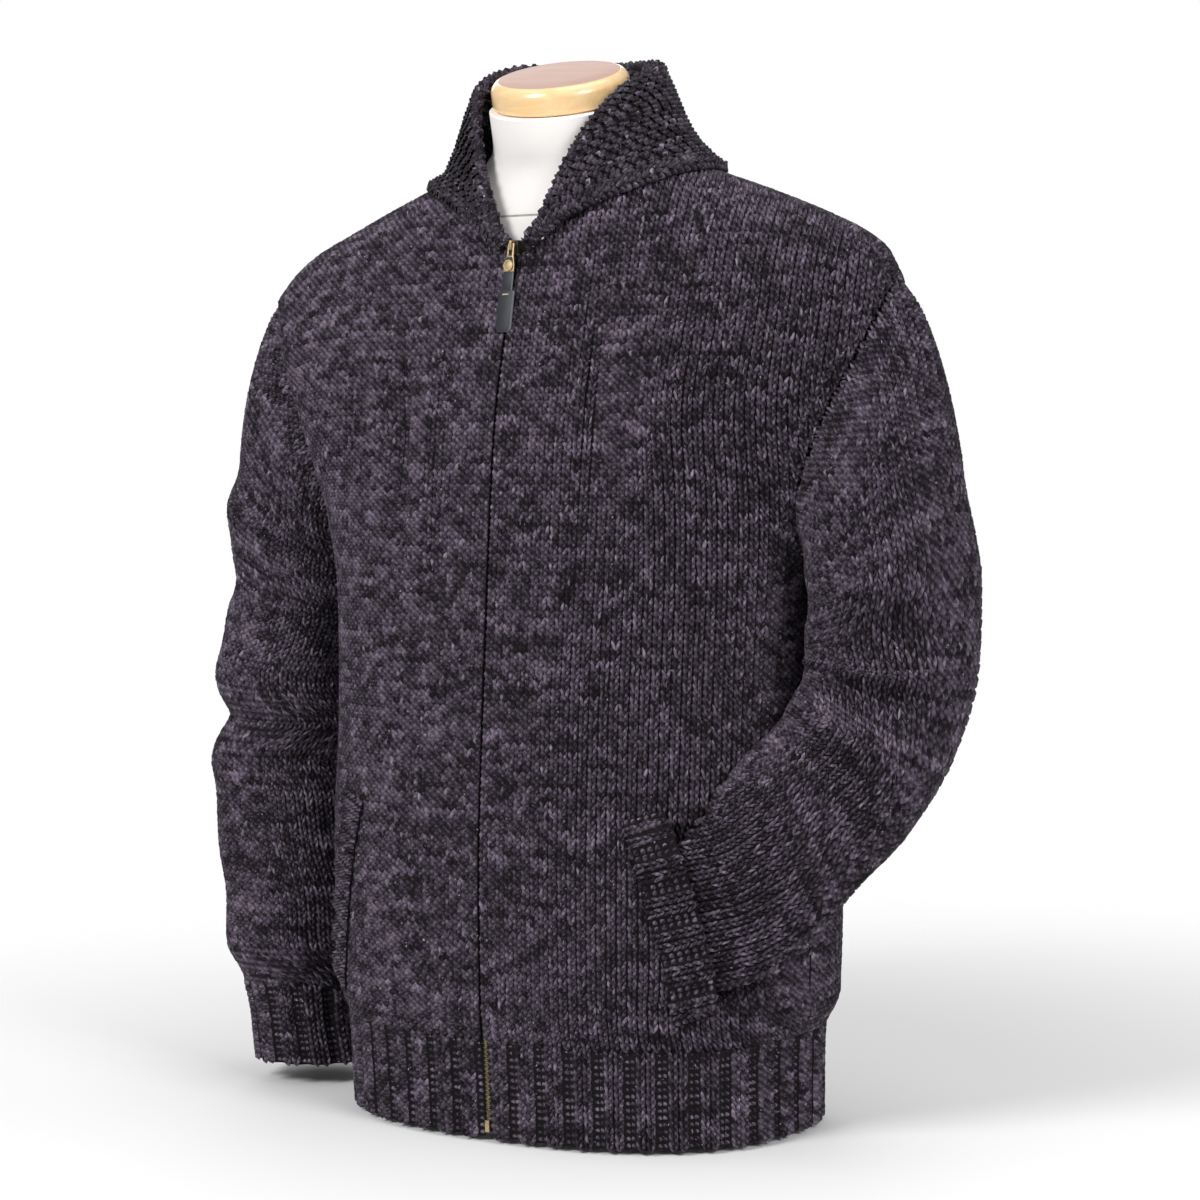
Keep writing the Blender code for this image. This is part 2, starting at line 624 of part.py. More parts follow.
# From the zip round to the middle of the back: the fold at the top and the fall's outer edge
COLLAR_COLUMNS = ("share", "fold_x", "fold_y", "fold_z", "edge_x", "edge_y", "edge_z")
COLLAR_ROWS = {
    1: (
        (0.00, 0.0070, -0.0690, 0.6620, 0.0130, -0.0700, 0.6550),
        (0.08, 0.0190, -0.0680, 0.6740, 0.0330, -0.0680, 0.6710),
        (0.17, 0.0320, -0.0630, 0.6960, 0.0600, -0.0590, 0.6860),
        (0.27, 0.0440, -0.0550, 0.7220, 0.0900, -0.0460, 0.6960),
        (0.38, 0.0570, -0.0430, 0.7480, 0.1140, -0.0310, 0.7020),
        (0.50, 0.0680, -0.0190, 0.7720, 0.1290, -0.0080, 0.7090),
        (0.62, 0.0700, 0.0080, 0.7850, 0.1280, 0.0170, 0.7110),
        (0.74, 0.0600, 0.0340, 0.7930, 0.1050, 0.0490, 0.7060),
        (0.87, 0.0350, 0.0580, 0.8030, 0.0600, 0.0850, 0.7000),
        (1.00, 0.0000, 0.0650, 0.8050, 0.0000, 0.0960, 0.6980),
    ),
    -1: (
        (0.00, 0.0070, -0.0690, 0.6620, 0.0130, -0.0700, 0.6550),
        (0.08, 0.0190, -0.0680, 0.6740, 0.0320, -0.0680, 0.6710),
        (0.17, 0.0320, -0.0620, 0.6960, 0.0550, -0.0590, 0.6830),
        (0.27, 0.0440, -0.0530, 0.7220, 0.0780, -0.0460, 0.6920),
        (0.38, 0.0560, -0.0400, 0.7560, 0.1010, -0.0310, 0.6980),
        (0.50, 0.0670, -0.0190, 0.7820, 0.1180, -0.0080, 0.7020),
        (0.62, 0.0690, 0.0080, 0.7930, 0.1180, 0.0170, 0.7050),
        (0.74, 0.0600, 0.0340, 0.7980, 0.1000, 0.0490, 0.7020),
        (0.87, 0.0350, 0.0580, 0.8030, 0.0600, 0.0850, 0.6990),
        (1.00, 0.0000, 0.0650, 0.8050, 0.0000, 0.0960, 0.6980),
    ),
}


def neckline(side, share):
    """Middle of the stand's foot, just inside the neck edge of the fronts and the back."""
    share = np.asarray(share, float)
    front = np.clip(share / 0.55, 0, 1)
    z = NECK_V_Z + 0.0020 + (NECK_TOP_Z - NECK_V_Z - 0.0020) * front
    angle = np.where(share < 0.55, neck_edge(z), 72.0 + (180.0 - 72.0) * (share - 0.55) / 0.45)
    face = torso(side * angle, z)
    normal = torso_normal(side * angle, z)
    core = np.stack([np.zeros(share.shape), np.full(share.shape, 0.002), z + 0.03], -1)
    inward = core - face
    inward = unit(inward - (inward * normal).sum(-1, keepdims=True) * normal)
    point = face - normal * WALL / 2 + inward * (COLLAR_WALL / 2 + 0.0036)
    point[..., 0] = side * np.maximum(side * point[..., 0], 0.0)
    return point * np.array([side, 1.0, 1.0])


def collar_section(seam, fold, edge, wall, roll):
    """Middle line of the folded cloth from the neck seam up over the fold to the outer edge."""
    outward = edge - seam
    outward = outward - np.array([0, 0, 1.0]) * outward[2] * 0.6
    outward = outward / np.linalg.norm(outward)
    rise = fold - (seam + edge) / 2
    rise = rise - outward * (rise @ outward)
    up = rise / np.linalg.norm(rise)
    peak = fold - up * (wall / 2)
    centre = peak - up * roll
    line = []
    for t in (0.0, 0.35, 0.7):
        start, stop = seam, centre - outward * roll
        line.append(start * (1 - t) + stop * t)
    for turn in (180, 140, 90, 40, 0):
        a = math.radians(turn)
        line.append(centre + outward * roll * math.cos(a) + up * roll * math.sin(a))
    start, stop = centre + outward * roll, edge
    sag = np.linalg.norm(stop - start) * 0.09
    for t in (0.25, 0.5, 0.75, 0.9, 1.0):
        bend = 6.75 * t * t * (1 - t) * sag
        line.append(start * (1 - t) + stop * t - outward * bend)
    return np.array(line), outward, up


def collar(cloth):
    half = np.concatenate([np.linspace(0, 0.2, 5)[:-1], np.linspace(0.2, 1.0, 13)])
    rows_out, rows_in = [], []
    for side in (-1, 1):
        table = np.array(COLLAR_ROWS[side])
        flip = np.array([side, 1.0, 1.0])
        shares = half if side < 0 else half[-2::-1]
        for s in shares:
            values = [float(smooth_interp(np.array(s), table[:, 0], table[:, i])) for i in range(1, 7)]
            seam = neckline(side, s)
            seam[0] = 0.0 if s == 1.0 else max(seam[0], 0.0065)
            full = float(smoothstep(np.array(s / 0.16)))
            wall, roll = 0.0022 + (COLLAR_WALL - 0.0022) * full, 0.0014 + 0.0028 * full
            line, outward, up = collar_section(seam, np.array(values[0:3]), np.array(values[3:6]), wall, roll)
            across = np.cross(outward, up)
            normal = unit(np.cross(unit(np.gradient(line, axis=0)), across))
            face = line + normal * wall / 2
            back = line - normal * wall / 2
            fall = slice(8, len(line))
            shift = clear_of_torso(face[fall], side, 2 * CLEARANCE) - face[fall]
            face[fall] += shift
            back[fall] += shift
            rows_out.append(face * flip)
            rows_in.append(back * flip)
    outer, inner = np.array(rows_out), np.array(rows_in)
    return finish(wall_mesh("collar", outer, inner), cloth)


# Pocket welts


def welt(side, cloth):
    """A ribbed band lying on the front, its free edge along the pocket mouth."""
    name = "pocket_welt_left" if side > 0 else "pocket_welt_right"
    length = WELT_TOP[0] - WELT_FOOT[0]
    marks, high = rib_stations(length / math.cos(math.radians(13)))
    along = marks / marks[-1]
    across = np.array([0.0, 0.12, 0.88, 1.0])
    low = WELT_FOOT[0] + (WELT_FOOT[1] - WELT_FOOT[0]) * across
    top = WELT_TOP[0] + (WELT_TOP[1] - WELT_TOP[0]) * across
    z = low[:, None] + (top - low)[:, None] * along[None, :]
    free = mouth_angle(1, z)
    angle = free - np.degrees((1 - across)[:, None] * WELT_WIDTH / base_radius(free, z))
    over = np.ones(z.shape, bool)
    face = torso(side * angle, z, over)
    normal = torso_normal(side * angle, z, over)
    relief = np.array([0.3, 1.0, 1.0, 0.5])[:, None] * RIB_RELIEF * 0.8 * high[None, :]
    inner = face + normal * WELT_LIFT[side]
    outer = face + normal * (WELT_LIFT[side] + WELT_WALL - 0.0010 + relief)[..., None]
    return finish(wall_mesh(name, outer, inner), cloth)


# Zip


def box_mesh(name, sections, kind):
    """A bar through rectangular sections: rows of (centre, half width along x, half depth, tilt)."""
    points, faces = [], []
    for centre, half, deep, tilt in sections:
        dy, dz = math.cos(tilt) * deep, math.sin(tilt) * deep
        for sx, sd in ((-1, -1), (1, -1), (1, 1), (-1, 1)):
            points.append((centre[0] + sx * half, centre[1] + sd * dy, centre[2] + sd * dz))
    for i in range(len(sections) - 1):
        for k in range(4):
            a, b = i * 4 + k, i * 4 + (k + 1) % 4
            faces.append((a, b, b + 4, a + 4))
    end = (len(sections) - 1) * 4
    faces.append((0, 3, 2, 1))
    faces.append((end, end + 1, end + 2, end + 3))
    return finish(mesh_object(name, np.array(points), faces), kind)


CHAIN_DEPTH = WALL + 0.0007
CHAIN_HALF = 0.0022


def zip_chain(metal):
    z = np.concatenate([[0.017, 0.045], body_levels()])
    z = np.append(z[z < 0.640], 0.6520)
    face = torso(np.zeros(len(z)), z)
    rows = [((0.0, y + CHAIN_DEPTH + 0.0011, h), CHAIN_HALF, 0.0011, 0.0) for y, h in zip(face[:, 1], z)]
    return box_mesh("zip_chain", rows, metal)


def zip_tape(side, cloth):
    name = "zip_tape_left" if side > 0 else "zip_tape_right"
    z = np.concatenate([[HEM_Z + 0.002, 0.045], body_levels()])
    z = np.append(z[z < 0.640], 0.6455)
    inner_x, outer_x = CHAIN_HALF + 0.0003, CHAIN_HALF + TAPE_WIDTH
    columns = []
    for x in (inner_x, outer_x):
        radius = base_radius(0.0, z)
        angle = side * np.degrees(np.arcsin(x / radius))
        face = torso(angle, z, np.ones(len(z), bool))
        normal = torso_normal(angle, z, np.ones(len(z), bool))
        columns.append((face - normal * (WALL + 0.0006), face - normal * (WALL + 0.0006 + TAPE_THICK)))
    outer = np.stack([c[0] for c in columns], 1)
    inner = np.stack([c[1] for c in columns], 1)
    return finish(wall_mesh(name, outer, inner), cloth)


# Slider, stop and pull

HINGE = (0.0, -0.0722, 0.6590)
PULL_LEAN = math.radians(11.4)


def prism(name, outline, low, high, place):
    """A plate: outline as (across, down) pairs, from depth low to high, placed by a function."""
    points = [place(a, d, low) for a, d in outline] + [place(a, d, high) for a, d in outline]
    n = len(outline)
    faces = [tuple(range(n - 1, -1, -1)), tuple(range(n, 2 * n))]
    faces += [(i, (i + 1) % n, n + (i + 1) % n, n + i) for i in range(n)]
    return mesh_object(name, np.array(points), faces)


def joined(name, base, extras, cuts, kind):
    """One solid made of a base with the extras added and the cuts taken out."""
    for tool, way in [(e, "UNION") for e in extras] + [(c, "DIFFERENCE") for c in cuts]:
        step = base.modifiers.new("step", "BOOLEAN")
        step.operation, step.object, step.solver = way, tool, "EXACT"
        graph = bpy.context.evaluated_depsgraph_get()
        mesh = bpy.data.meshes.new_from_object(base.evaluated_get(graph))
        base.modifiers.clear()
        base.data = mesh
        bpy.data.objects.remove(tool)
    base.name = name
    base.data.name = name
    return finish(base, kind)


def upright(a, d, depth):
    """Place for the slider: across, down from the hinge and behind it."""
    return (a, HINGE[1] + depth, HINGE[2] - d)


def hanging(a, d, depth):
    """Place for the pull, which hangs from the hinge against the slope of the chest."""
    c, s = math.cos(PULL_LEAN), math.sin(PULL_LEAN)
    return (a, HINGE[1] - d * s + depth * c, HINGE[2] - d * c - depth * s)


def rectangle(half, top, foot):
    return ((-half, top), (half, top), (half, foot), (-half, foot))


def disc(radius, down, count=16):
    turns = [2 * math.pi * i / count for i in range(count)]
    return tuple((radius * math.cos(t), down + radius * math.sin(t)) for t in turns)


def rounded(half, top, foot, corner, steps=4):
    """A plate's outline with its two lower corners rounded."""
    points = [(-half, top), (half, top)]
    for i in range(steps + 1):
        t = math.pi / 2 * i / steps
        points.append((half - corner + corner * math.cos(t), foot - corner + corner * math.sin(t)))
    for i in range(steps + 1):
        t = math.pi / 2 * (1 - i / steps)
        points.append((-half + corner - corner * math.cos(t), foot - corner + corner * math.sin(t)))
    return tuple(points)


def zip_slider(metal):
    body = prism("slider_body", rectangle(0.0040, -0.0030, 0.0066), 0.0025, 0.0140, upright)
    arch = prism("slider_arch", rectangle(0.0010, -0.0028, 0.0040), -0.0017, 0.0030, upright)
    hole = prism("slider_hole", rectangle(0.0030, -0.0010, 0.0018), -0.0009, 0.0024, upright)
    return joined("zip_slider", body, [arch], [hole], metal)


def zip_box(metal):
    z = 0.0120
    y = float(torso(np.array(0.0), np.array(z))[1])
    ends = (0.0070, 0.0160)
    rows = [((0.0, y + 0.0038, end), 0.0021, 0.0018, 0.0) for end in ends]
    return box_mesh("zip_box", rows, metal)


def hang_from_hinge(made):
    """Put a piece's own origin on the hinge line, leaving the piece where it is."""
    made.data.transform(Matrix.Translation(-Vector(HINGE)))
    made.location = HINGE


def pull_frame(metal):
    right = ((0.0028, -0.0007), (0.0030, 0.0090), (0.0047, 0.0160), (0.0047, 0.0205))
    outer = ((-0.0028, -0.0007),) + right + tuple((-x, z) for x, z in right[:0:-1])
    plate = prism("frame_plate", outer, -0.0006, 0.0006, hanging)
    rivet = prism("frame_rivet", disc(0.0042, 0.0160), -0.0014, 0.0003, hanging)
    window = prism("frame_window", rectangle(0.0015, 0.0006, 0.0085), -0.0020, 0.0020, hanging)
    hang_from_hinge(joined("pull_frame", plate, [rivet], [window], metal))


def pull_leather(leather):
    strap = prism("pull_strap", rectangle(0.0042, 0.0208, 0.0345), -0.0010, 0.0010, hanging)
    hang_from_hinge(finish(strap, leather))
    tab = prism("pull_tab", rounded(0.0065, 0.0348, 0.0655, 0.0030), -0.0012, 0.0011, hanging)
    hang_from_hinge(finish(tab, leather))


# Form

FORM_COLUMNS = ("z", "half_width", "front_y", "back_y", "squareness")
FORM_ROWS = (
    (0.000, 0.158, -0.098, 0.086, 2.3),
    (0.020, 0.163, -0.101, 0.090, 2.3),
    (0.100, 0.166, -0.104, 0.097, 2.3),
    (0.200, 0.165, -0.103, 0.099, 2.3),
    (0.300, 0.160, -0.097, 0.097, 2.3),
    (0.420, 0.170, -0.090, 0.097, 2.2),
    (0.500, 0.186, -0.084, 0.092, 2.1),
    (0.560, 0.200, -0.074, 0.083, 2.0),
    (0.610, 0.208, -0.062, 0.072, 1.9),
    (0.640, 0.208, -0.055, 0.068, 1.9),
    (0.660, 0.202, -0.052, 0.066, 1.9),
    (0.676, 0.184, -0.050, 0.063, 1.9),
    (0.690, 0.156, -0.048, 0.060, 1.95),
    (0.704, 0.116, -0.046, 0.056, 2.0),
    (0.716, 0.078, -0.047, 0.050, 2.0),
    (0.735, 0.056, -0.053, 0.047, 2.0),
    (0.766, 0.0535, -0.061, 0.044, 2.0),
)
CAP_CENTRE = (0.000, -0.0085, 0.7865)
CAP_LEAN = (0.092, -0.290)
CAP_RADIUS = 0.0525
CAP_THICK = 0.0205
FORM_CLEARANCE = 0.0026


def under_cloth(x, y, height):
    """Draw a ring of the form in where the cloth would rest on it."""
    if height > NECK_TOP_Z:
        return x, y
    angle = np.degrees(np.arctan2(x, -y))
    z = np.full(angle.shape, height)
    level = np.linalg.norm(torso_normal(angle, z)[:, :2], axis=1)
    limit = base_radius(angle, z) + fold_offset(angle, z) - (WALL + FORM_CLEARANCE) / level
    share = np.minimum(1.0, limit / np.hypot(x, y))
    return x * share, y * share


def form_torso(cloth):
    table = np.array(FORM_ROWS)
    low = np.array([0.0, 0.02, 0.10, 0.20, 0.30, 0.38, 0.45, 0.52, 0.58, 0.61, 0.635, 0.655])
    high = np.array([0.672, 0.686, 0.698, 0.708, 0.720, 0.742, 0.7645])
    z = np.concatenate([low, high])
    turn = np.linspace(0, 2 * math.pi, 29)[:-1]
    rings = []
    for h in z:
        level = np.array(h)
        sizes = [float(smooth_interp(level, table[:, 0], table[:, i])) for i in range(1, 5)]
        wide, front, back, n = sizes
        middle, deep = (front + back) / 2, (back - front) / 2
        c, s = np.sin(turn), -np.cos(turn)
        scale = (np.abs(c) ** n + np.abs(s) ** n) ** (-1.0 / n)
        x, y = wide * c * scale, middle + deep * s * scale
        x, y = under_cloth(x, y, h)
        height = np.full(len(turn), h)
        lean = smoothstep(np.array((h - 0.70) / (0.7645 - 0.70)))
        height = height - lean * (CAP_LEAN[0] * x + CAP_LEAN[1] * (y - CAP_CENTRE[1]))
        rings.append(np.stack([x, y, height], 1))
    points = np.concatenate(rings)
    faces = []
    count = len(turn)
    for r in range(len(z) - 1):
        for c in range(count):
            d = (c + 1) % count
            faces.append((r * count + c, r * count + d, (r + 1) * count + d, (r + 1) * count + c))
    faces.append(tuple(range(count - 1, -1, -1)))
    last = (len(z) - 1) * count
    faces.append(tuple(range(last, last + count)))
    return finish(mesh_object("form_torso", points, faces), cloth)


def form_cap(wood):
    lean = np.array([CAP_LEAN[0], CAP_LEAN[1], 1.0])
    up = lean / np.linalg.norm(lean)
    right = unit(np.cross(np.array([0.0, 1.0, 0.0]), up))
    ahead = np.cross(up, right)
    profile = (
        (-CAP_THICK, 0.0505),
        (-CAP_THICK + 0.003, CAP_RADIUS),
        (-0.0035, CAP_RADIUS),
        (-0.001, CAP_RADIUS - 0.0012),
        (0.0, CAP_RADIUS - 0.0038),
    )
    turn = np.linspace(0, 2 * math.pi, 37)[:-1]
    points = []
    for rise, radius in profile:
        for a in turn:
            out = right * math.cos(a) + ahead * math.sin(a)
            points.append(np.array(CAP_CENTRE) + up * rise + out * radius)
    faces = []
    count = len(turn)
    for r in range(len(profile) - 1):
        for c in range(count):
            d = (c + 1) % count
            faces.append((r * count + c, r * count + d, (r + 1) * count + d, (r + 1) * count + c))
    faces.append(tuple(range(count - 1, -1, -1)))
    last = (len(profile) - 1) * count
    faces.append(tuple(range(last, last + count)))
    return finish(mesh_object("form_cap", np.array(points), faces), wood)


if __name__ == "__main__":
    clear_scene()
    marl = material("marl_knit", (0.035, 0.032, 0.038), 0.95)
    tape = material("zip_tape_black", (0.02, 0.02, 0.022), 0.9)
    brass = material("antique_brass", (0.45, 0.33, 0.16), 0.35, 1.0)
    leather = material("slate_leather", (0.045, 0.048, 0.055), 0.55)
    linen = material("form_linen", (0.80, 0.77, 0.72), 0.9)
    wood = material("honey_wood", (0.72, 0.47, 0.22), 0.45)
    front_panel(1, marl)
    front_panel(-1, marl)
    back_panel(marl)
    hem_ribs(marl)
    for side in (1, -1):
        sleeve(side, marl)
        cuff(side, marl)
        welt(side, marl)
        zip_tape(side, tape)
    collar(marl)
    zip_chain(brass)
    zip_slider(brass)
    zip_box(brass)
    pull_frame(brass)
    pull_leather(leather)
    form_torso(linen)
    form_cap(wood)
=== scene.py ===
# %% [markdown]
# # A chunky shawl collar cardigan on a dress form
#
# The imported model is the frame: every piece here is built in its metres, with +Z up, the wearer
# facing -Y and the wearer's left at +X. The cloth pieces below stand in for the plain walls of
# the frame, in the same places. Each one is a thin shell with real knitted stitches laid on it.

# %% Load the frame
import math

import bmesh
import bpy
import numpy as np
from mathutils import Matrix


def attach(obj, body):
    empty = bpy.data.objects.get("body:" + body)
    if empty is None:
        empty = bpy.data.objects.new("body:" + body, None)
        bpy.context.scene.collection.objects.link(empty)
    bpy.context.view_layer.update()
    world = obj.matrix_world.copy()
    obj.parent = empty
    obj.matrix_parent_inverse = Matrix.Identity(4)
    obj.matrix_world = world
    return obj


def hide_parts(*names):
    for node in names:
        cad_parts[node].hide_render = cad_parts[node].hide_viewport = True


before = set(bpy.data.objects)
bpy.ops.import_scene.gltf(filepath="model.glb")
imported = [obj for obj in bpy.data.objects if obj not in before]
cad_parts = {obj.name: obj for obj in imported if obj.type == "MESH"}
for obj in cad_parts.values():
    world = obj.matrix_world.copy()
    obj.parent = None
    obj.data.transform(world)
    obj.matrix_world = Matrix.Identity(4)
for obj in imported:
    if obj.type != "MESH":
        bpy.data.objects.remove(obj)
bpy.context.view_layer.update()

# %% [markdown]
# ## Camera and light
#
# The picture was taken from the wearer's left front, a little above the waist, with a long lens.
# The camera is placed from its turn round the object, its height and its small roll. Light is a
# wide soft box on the left, a weaker one on the right and a bright room, as for a shop picture.

# %% Camera
CAMERA_PLACE = (1.5418, -2.0936, 0.575)
CAMERA_TURN, CAMERA_DROP, CAMERA_ROLL = 36.0, 4.05, 1.3
# Width of the sensor in mm, and the lens's focal length as a share of it
SENSOR_WIDTH, FOCAL_SHARE = 36.0, 3434 / 1200


def stand(made, axes, place):
    """Put a camera or a light at a place, with its own across, up and back axes."""
    turned = np.stack(axes, 1)
    made.matrix_world = Matrix([[*turned[i], place[i]] for i in range(3)] + [[0, 0, 0, 1]])
    bpy.context.scene.collection.objects.link(made)


def make_camera():
    turn, drop, roll = (math.radians(a) for a in (CAMERA_TURN, CAMERA_DROP, CAMERA_ROLL))
    right = np.array([math.cos(turn), math.sin(turn), 0.0])
    level = np.array([-math.sin(turn), math.cos(turn), 0.0])
    ahead = level * math.cos(drop) - np.array([0.0, 0.0, math.sin(drop)])
    up = np.cross(right, ahead)
    across = right * math.cos(roll) - up * math.sin(roll)
    upward = right * math.sin(roll) + up * math.cos(roll)
    data = bpy.data.cameras.new("view")
    data.sensor_width = SENSOR_WIDTH
    data.lens = SENSOR_WIDTH * FOCAL_SHARE
    made = bpy.data.objects.new("view", data)
    stand(made, (across, upward, -ahead), CAMERA_PLACE)
    bpy.context.scene.camera = made
    return made


camera = make_camera()
print("camera lens", round(camera.data.lens, 1), "mm")

# %% Lights and floor
# Each light: name, place, width, power
LIGHTS = (
    ("soft_left", (-0.5, -2.9, 2.4), 1.5, 77.0),
    ("soft_right", (2.7, -0.9, 1.9), 1.3, 44.0),
    ("soft_top", (0.4, 0.2, 3.0), 1.8, 15.0),
    ("rim_back", (-2.0, 2.0, 1.6), 1.8, 14.0),
)
AIM = (0.0, 0.0, 0.42)
ROOM_LIGHT = 0.40
FLOOR_FADE, FLOOR_REACH = 0.35, 1.10


def make_light(name, place, width, power):
    data = bpy.data.lights.new(name, "AREA")
    data.shape, data.size, data.energy = "DISK", width, power
    made = bpy.data.objects.new(name, data)
    away = np.array(place) - np.array(AIM)
    back = away / np.linalg.norm(away)
    side = np.cross((0.0, 0.0, 1.0), back)
    side /= np.linalg.norm(side)
    stand(made, (side, np.cross(back, side), back), place)


def make_world():
    """The camera sees plain white, and the object gets a softer grey light from all round."""
    world = bpy.data.worlds.new("room")
    world.use_nodes = True
    tree = world.node_tree
    shown = tree.nodes["Background"]
    shown.inputs["Color"].default_value = (1.0, 1.0, 1.0, 1.0)
    light = tree.nodes.new("ShaderNodeBackground")
    light.inputs["Color"].default_value = (1.0, 1.0, 1.0, 1.0)
    light.inputs["Strength"].default_value = ROOM_LIGHT
    mix = tree.nodes.new("ShaderNodeMixShader")
    tree.links.new(tree.nodes.new("ShaderNodeLightPath").outputs["Is Camera Ray"], mix.inputs[0])
    tree.links.new(light.outputs[0], mix.inputs[1])
    tree.links.new(shown.outputs[0], mix.inputs[2])
    tree.links.new(mix.outputs[0], tree.nodes["World Output"].inputs["Surface"])
    bpy.context.scene.world = world
    bpy.context.scene.view_settings.view_transform = "Standard"


def full_turn(steps):
    """Even turns once round, without the last, which is the first again."""
    return np.linspace(0, 2 * math.pi, steps + 1)[:-1]


def new_material(name):
    """An empty material, its node tree and its shader."""
    made = bpy.data.materials.new(name)
    made.use_nodes = True
    return made, made.node_tree, made.node_tree.nodes["Principled BSDF"]


def object_place(tree):
    return tree.nodes.new("ShaderNodeTexCoord").outputs["Object"]


def ramp(tree, value, low, high, start=0.0, stop=1.0):
    """A soft step from start to stop as the value goes from low to high."""
    made = tree.nodes.new("ShaderNodeMapRange")
    made.interpolation_type = "SMOOTHSTEP"
    tree.links.new(value, made.inputs["Value"])
    for name, number in (("From Min", low), ("From Max", high), ("To Min", start), ("To Max", stop)):
        made.inputs[name].default_value = number
    return made.outputs["Result"]


def make_floor():
    """A pale floor that fades out to the white of the room before its edge shows."""
    turn = full_turn(96)
    points = [(FLOOR_REACH * math.cos(t), FLOOR_REACH * math.sin(t), 0.0) for t in turn]
    mesh = bpy.data.meshes.new("floor")
    mesh.from_pydata(points, [], [tuple(range(len(points)))])
    floor = bpy.data.objects.new("floor", mesh)
    pale, tree, shader = new_material("pale_floor")
    shader.inputs["Base Color"].default_value = (0.92, 0.92, 0.92, 1.0)
    shader.inputs["Roughness"].default_value = 0.9
    length = tree.nodes.new("ShaderNodeVectorMath")
    length.operation = "LENGTH"
    tree.links.new(object_place(tree), length.inputs[0])
    fade = ramp(tree, length.outputs["Value"], FLOOR_FADE, FLOOR_REACH, 1.0, 0.0)
    tree.links.new(fade, shader.inputs["Alpha"])
    mesh.materials.append(pale)
    bpy.context.scene.collection.objects.link(floor)


make_world()
make_floor()
for row in LIGHTS:
    make_light(*row)
print("lights", len(LIGHTS))

# %% [markdown]
# ## The shape under the stitches
#
# The torso of the cloth is a stack of rounded sections, so one function of angle and height gives
# its face. Soft folds are bumps and troughs added to the radius. The frame's plain walls come from the
# same sizes, so the shells and the stitches land on them. Only a few creases are deeper here, by up
# to 6 mm.

# %% Sizes of the body
WALL = 0.004
SEAM_GAP = 0.0006
# The body's radius at a side seam, and the space there as an angle in degrees
SIDE_RADIUS = 0.2
SEAM_TURN = math.degrees(SEAM_GAP / SIDE_RADIUS)
# The radius that turns an angle beside a fold into a distance
FOLD_RADIUS = 0.17
CLEARANCE = 0.0008
HEM_Z, RIB_TOP_Z = 0.004, 0.076
UNDERARM_Z, SHOULDER_Z = 0.425, 0.625
NECK_V_Z, NECK_TOP_Z = 0.649, 0.722
ZIP_GAP, ZIP_GAP_HEM = 0.0022, 0.0055

# Torso of the cloth, outer face: one row for each height
BODY_COLUMNS = ("z", "left", "right", "front", "back", "squareness")
BODY_ROWS = (
    (0.000, 0.1880, 0.1890, 0.130, 0.114, 2.50),
    (0.070, 0.1900, 0.1910, 0.132, 0.117, 2.50),
    (0.100, 0.2030, 0.2040, 0.134, 0.128, 2.45),
    (0.200, 0.2060, 0.2060, 0.132, 0.131, 2.45),
    (0.300, 0.2030, 0.2030, 0.124, 0.128, 2.40),
    (0.400, 0.2070, 0.2080, 0.114, 0.124, 2.30),
    (0.460, 0.2230, 0.2230, 0.108, 0.119, 2.20),
    (0.530, 0.2560, 0.2570, 0.099, 0.108, 2.10),
    (0.590, 0.2810, 0.2810, 0.085, 0.098, 2.00),
    (0.623, 0.2860, 0.2840, 0.075, 0.092, 1.95),
    (0.635, 0.2810, 0.2750, 0.071, 0.089, 1.95),
    (0.648, 0.2730, 0.2600, 0.067, 0.086, 1.95),
    (0.660, 0.2560, 0.2400, 0.064, 0.083, 1.95),
    (0.674, 0.2260, 0.2060, 0.060, 0.079, 1.95),
    (0.692, 0.1790, 0.1600, 0.056, 0.074, 1.95),
    (0.706, 0.1370, 0.1200, 0.053, 0.069, 2.00),
    (0.716, 0.1080, 0.0960, 0.051, 0.065, 2.00),
    (0.724, 0.0840, 0.0800, 0.049, 0.062, 2.00),
)

# Armhole: how far the seam comes round from the side, in degrees, and its lower fullness
ARMHOLE_FRONT = {1: 8.0, -1: 11.0}
ARMHOLE_BACK = 14.0
ARMHOLE_SAG = 0.5

# Pocket: the mouth's free edge by angle from the middle of the front and by height
POCKET_TOP = (56.0, 0.242)
POCKET_FOOT = (64.5, 0.108)
MOUTH_OVERLAP = 0.010
MOUTH_UNDERLAP = 0.008
POCKET_LIFT = 0.011
POCKET_PRESS = 0.014
LIFT_REACH = 0.050
PRESS_REACH = 0.050
WELT_WIDTH = 0.030
WELT_LIFT = {1: 0.0016, -1: 0.0009}
# How far the face of a welt's shell lies under its stitches
WELT_SHELL_FACE = 0.0018
WELT_TOP = (0.2435, 0.2515)
WELT_FOOT = (0.096, 0.104)
SIDES = {1: "left", -1: "right"}

# Folds of the torso: angle, height, half length, half width, depth out, slant in degrees
# Columns: angle, z, length, width, depth, slant
TORSO_FOLDS = (
    (44.0, 0.545, 0.060, 0.015, -0.0095, 6.0),
    (57.0, 0.530, 0.075, 0.014, 0.0085, 8.0),
    (-46.0, 0.520, 0.065, 0.014, -0.0105, -10.0),
    (-33.0, 0.500, 0.080, 0.018, 0.0050, -6.0),
    (28.0, 0.330, 0.090, 0.040, 0.0030, 20.0),
    (-25.0, 0.300, 0.110, 0.040, -0.0030, -15.0),
    (-40.0, 0.180, 0.080, 0.030, 0.0035, 5.0),
    (118.0, 0.400, 0.130, 0.022, 0.0060, 8.0),
    (132.0, 0.350, 0.150, 0.020, -0.0060, 10.0),
    (165.0, 0.300, 0.160, 0.030, 0.0045, 4.0),
    (205.0, 0.320, 0.150, 0.028, -0.0050, -6.0),
    (232.0, 0.370, 0.140, 0.022, 0.0060, -9.0),
    (248.0, 0.420, 0.110, 0.018, -0.0055, -8.0),
)


# %% Torso surface

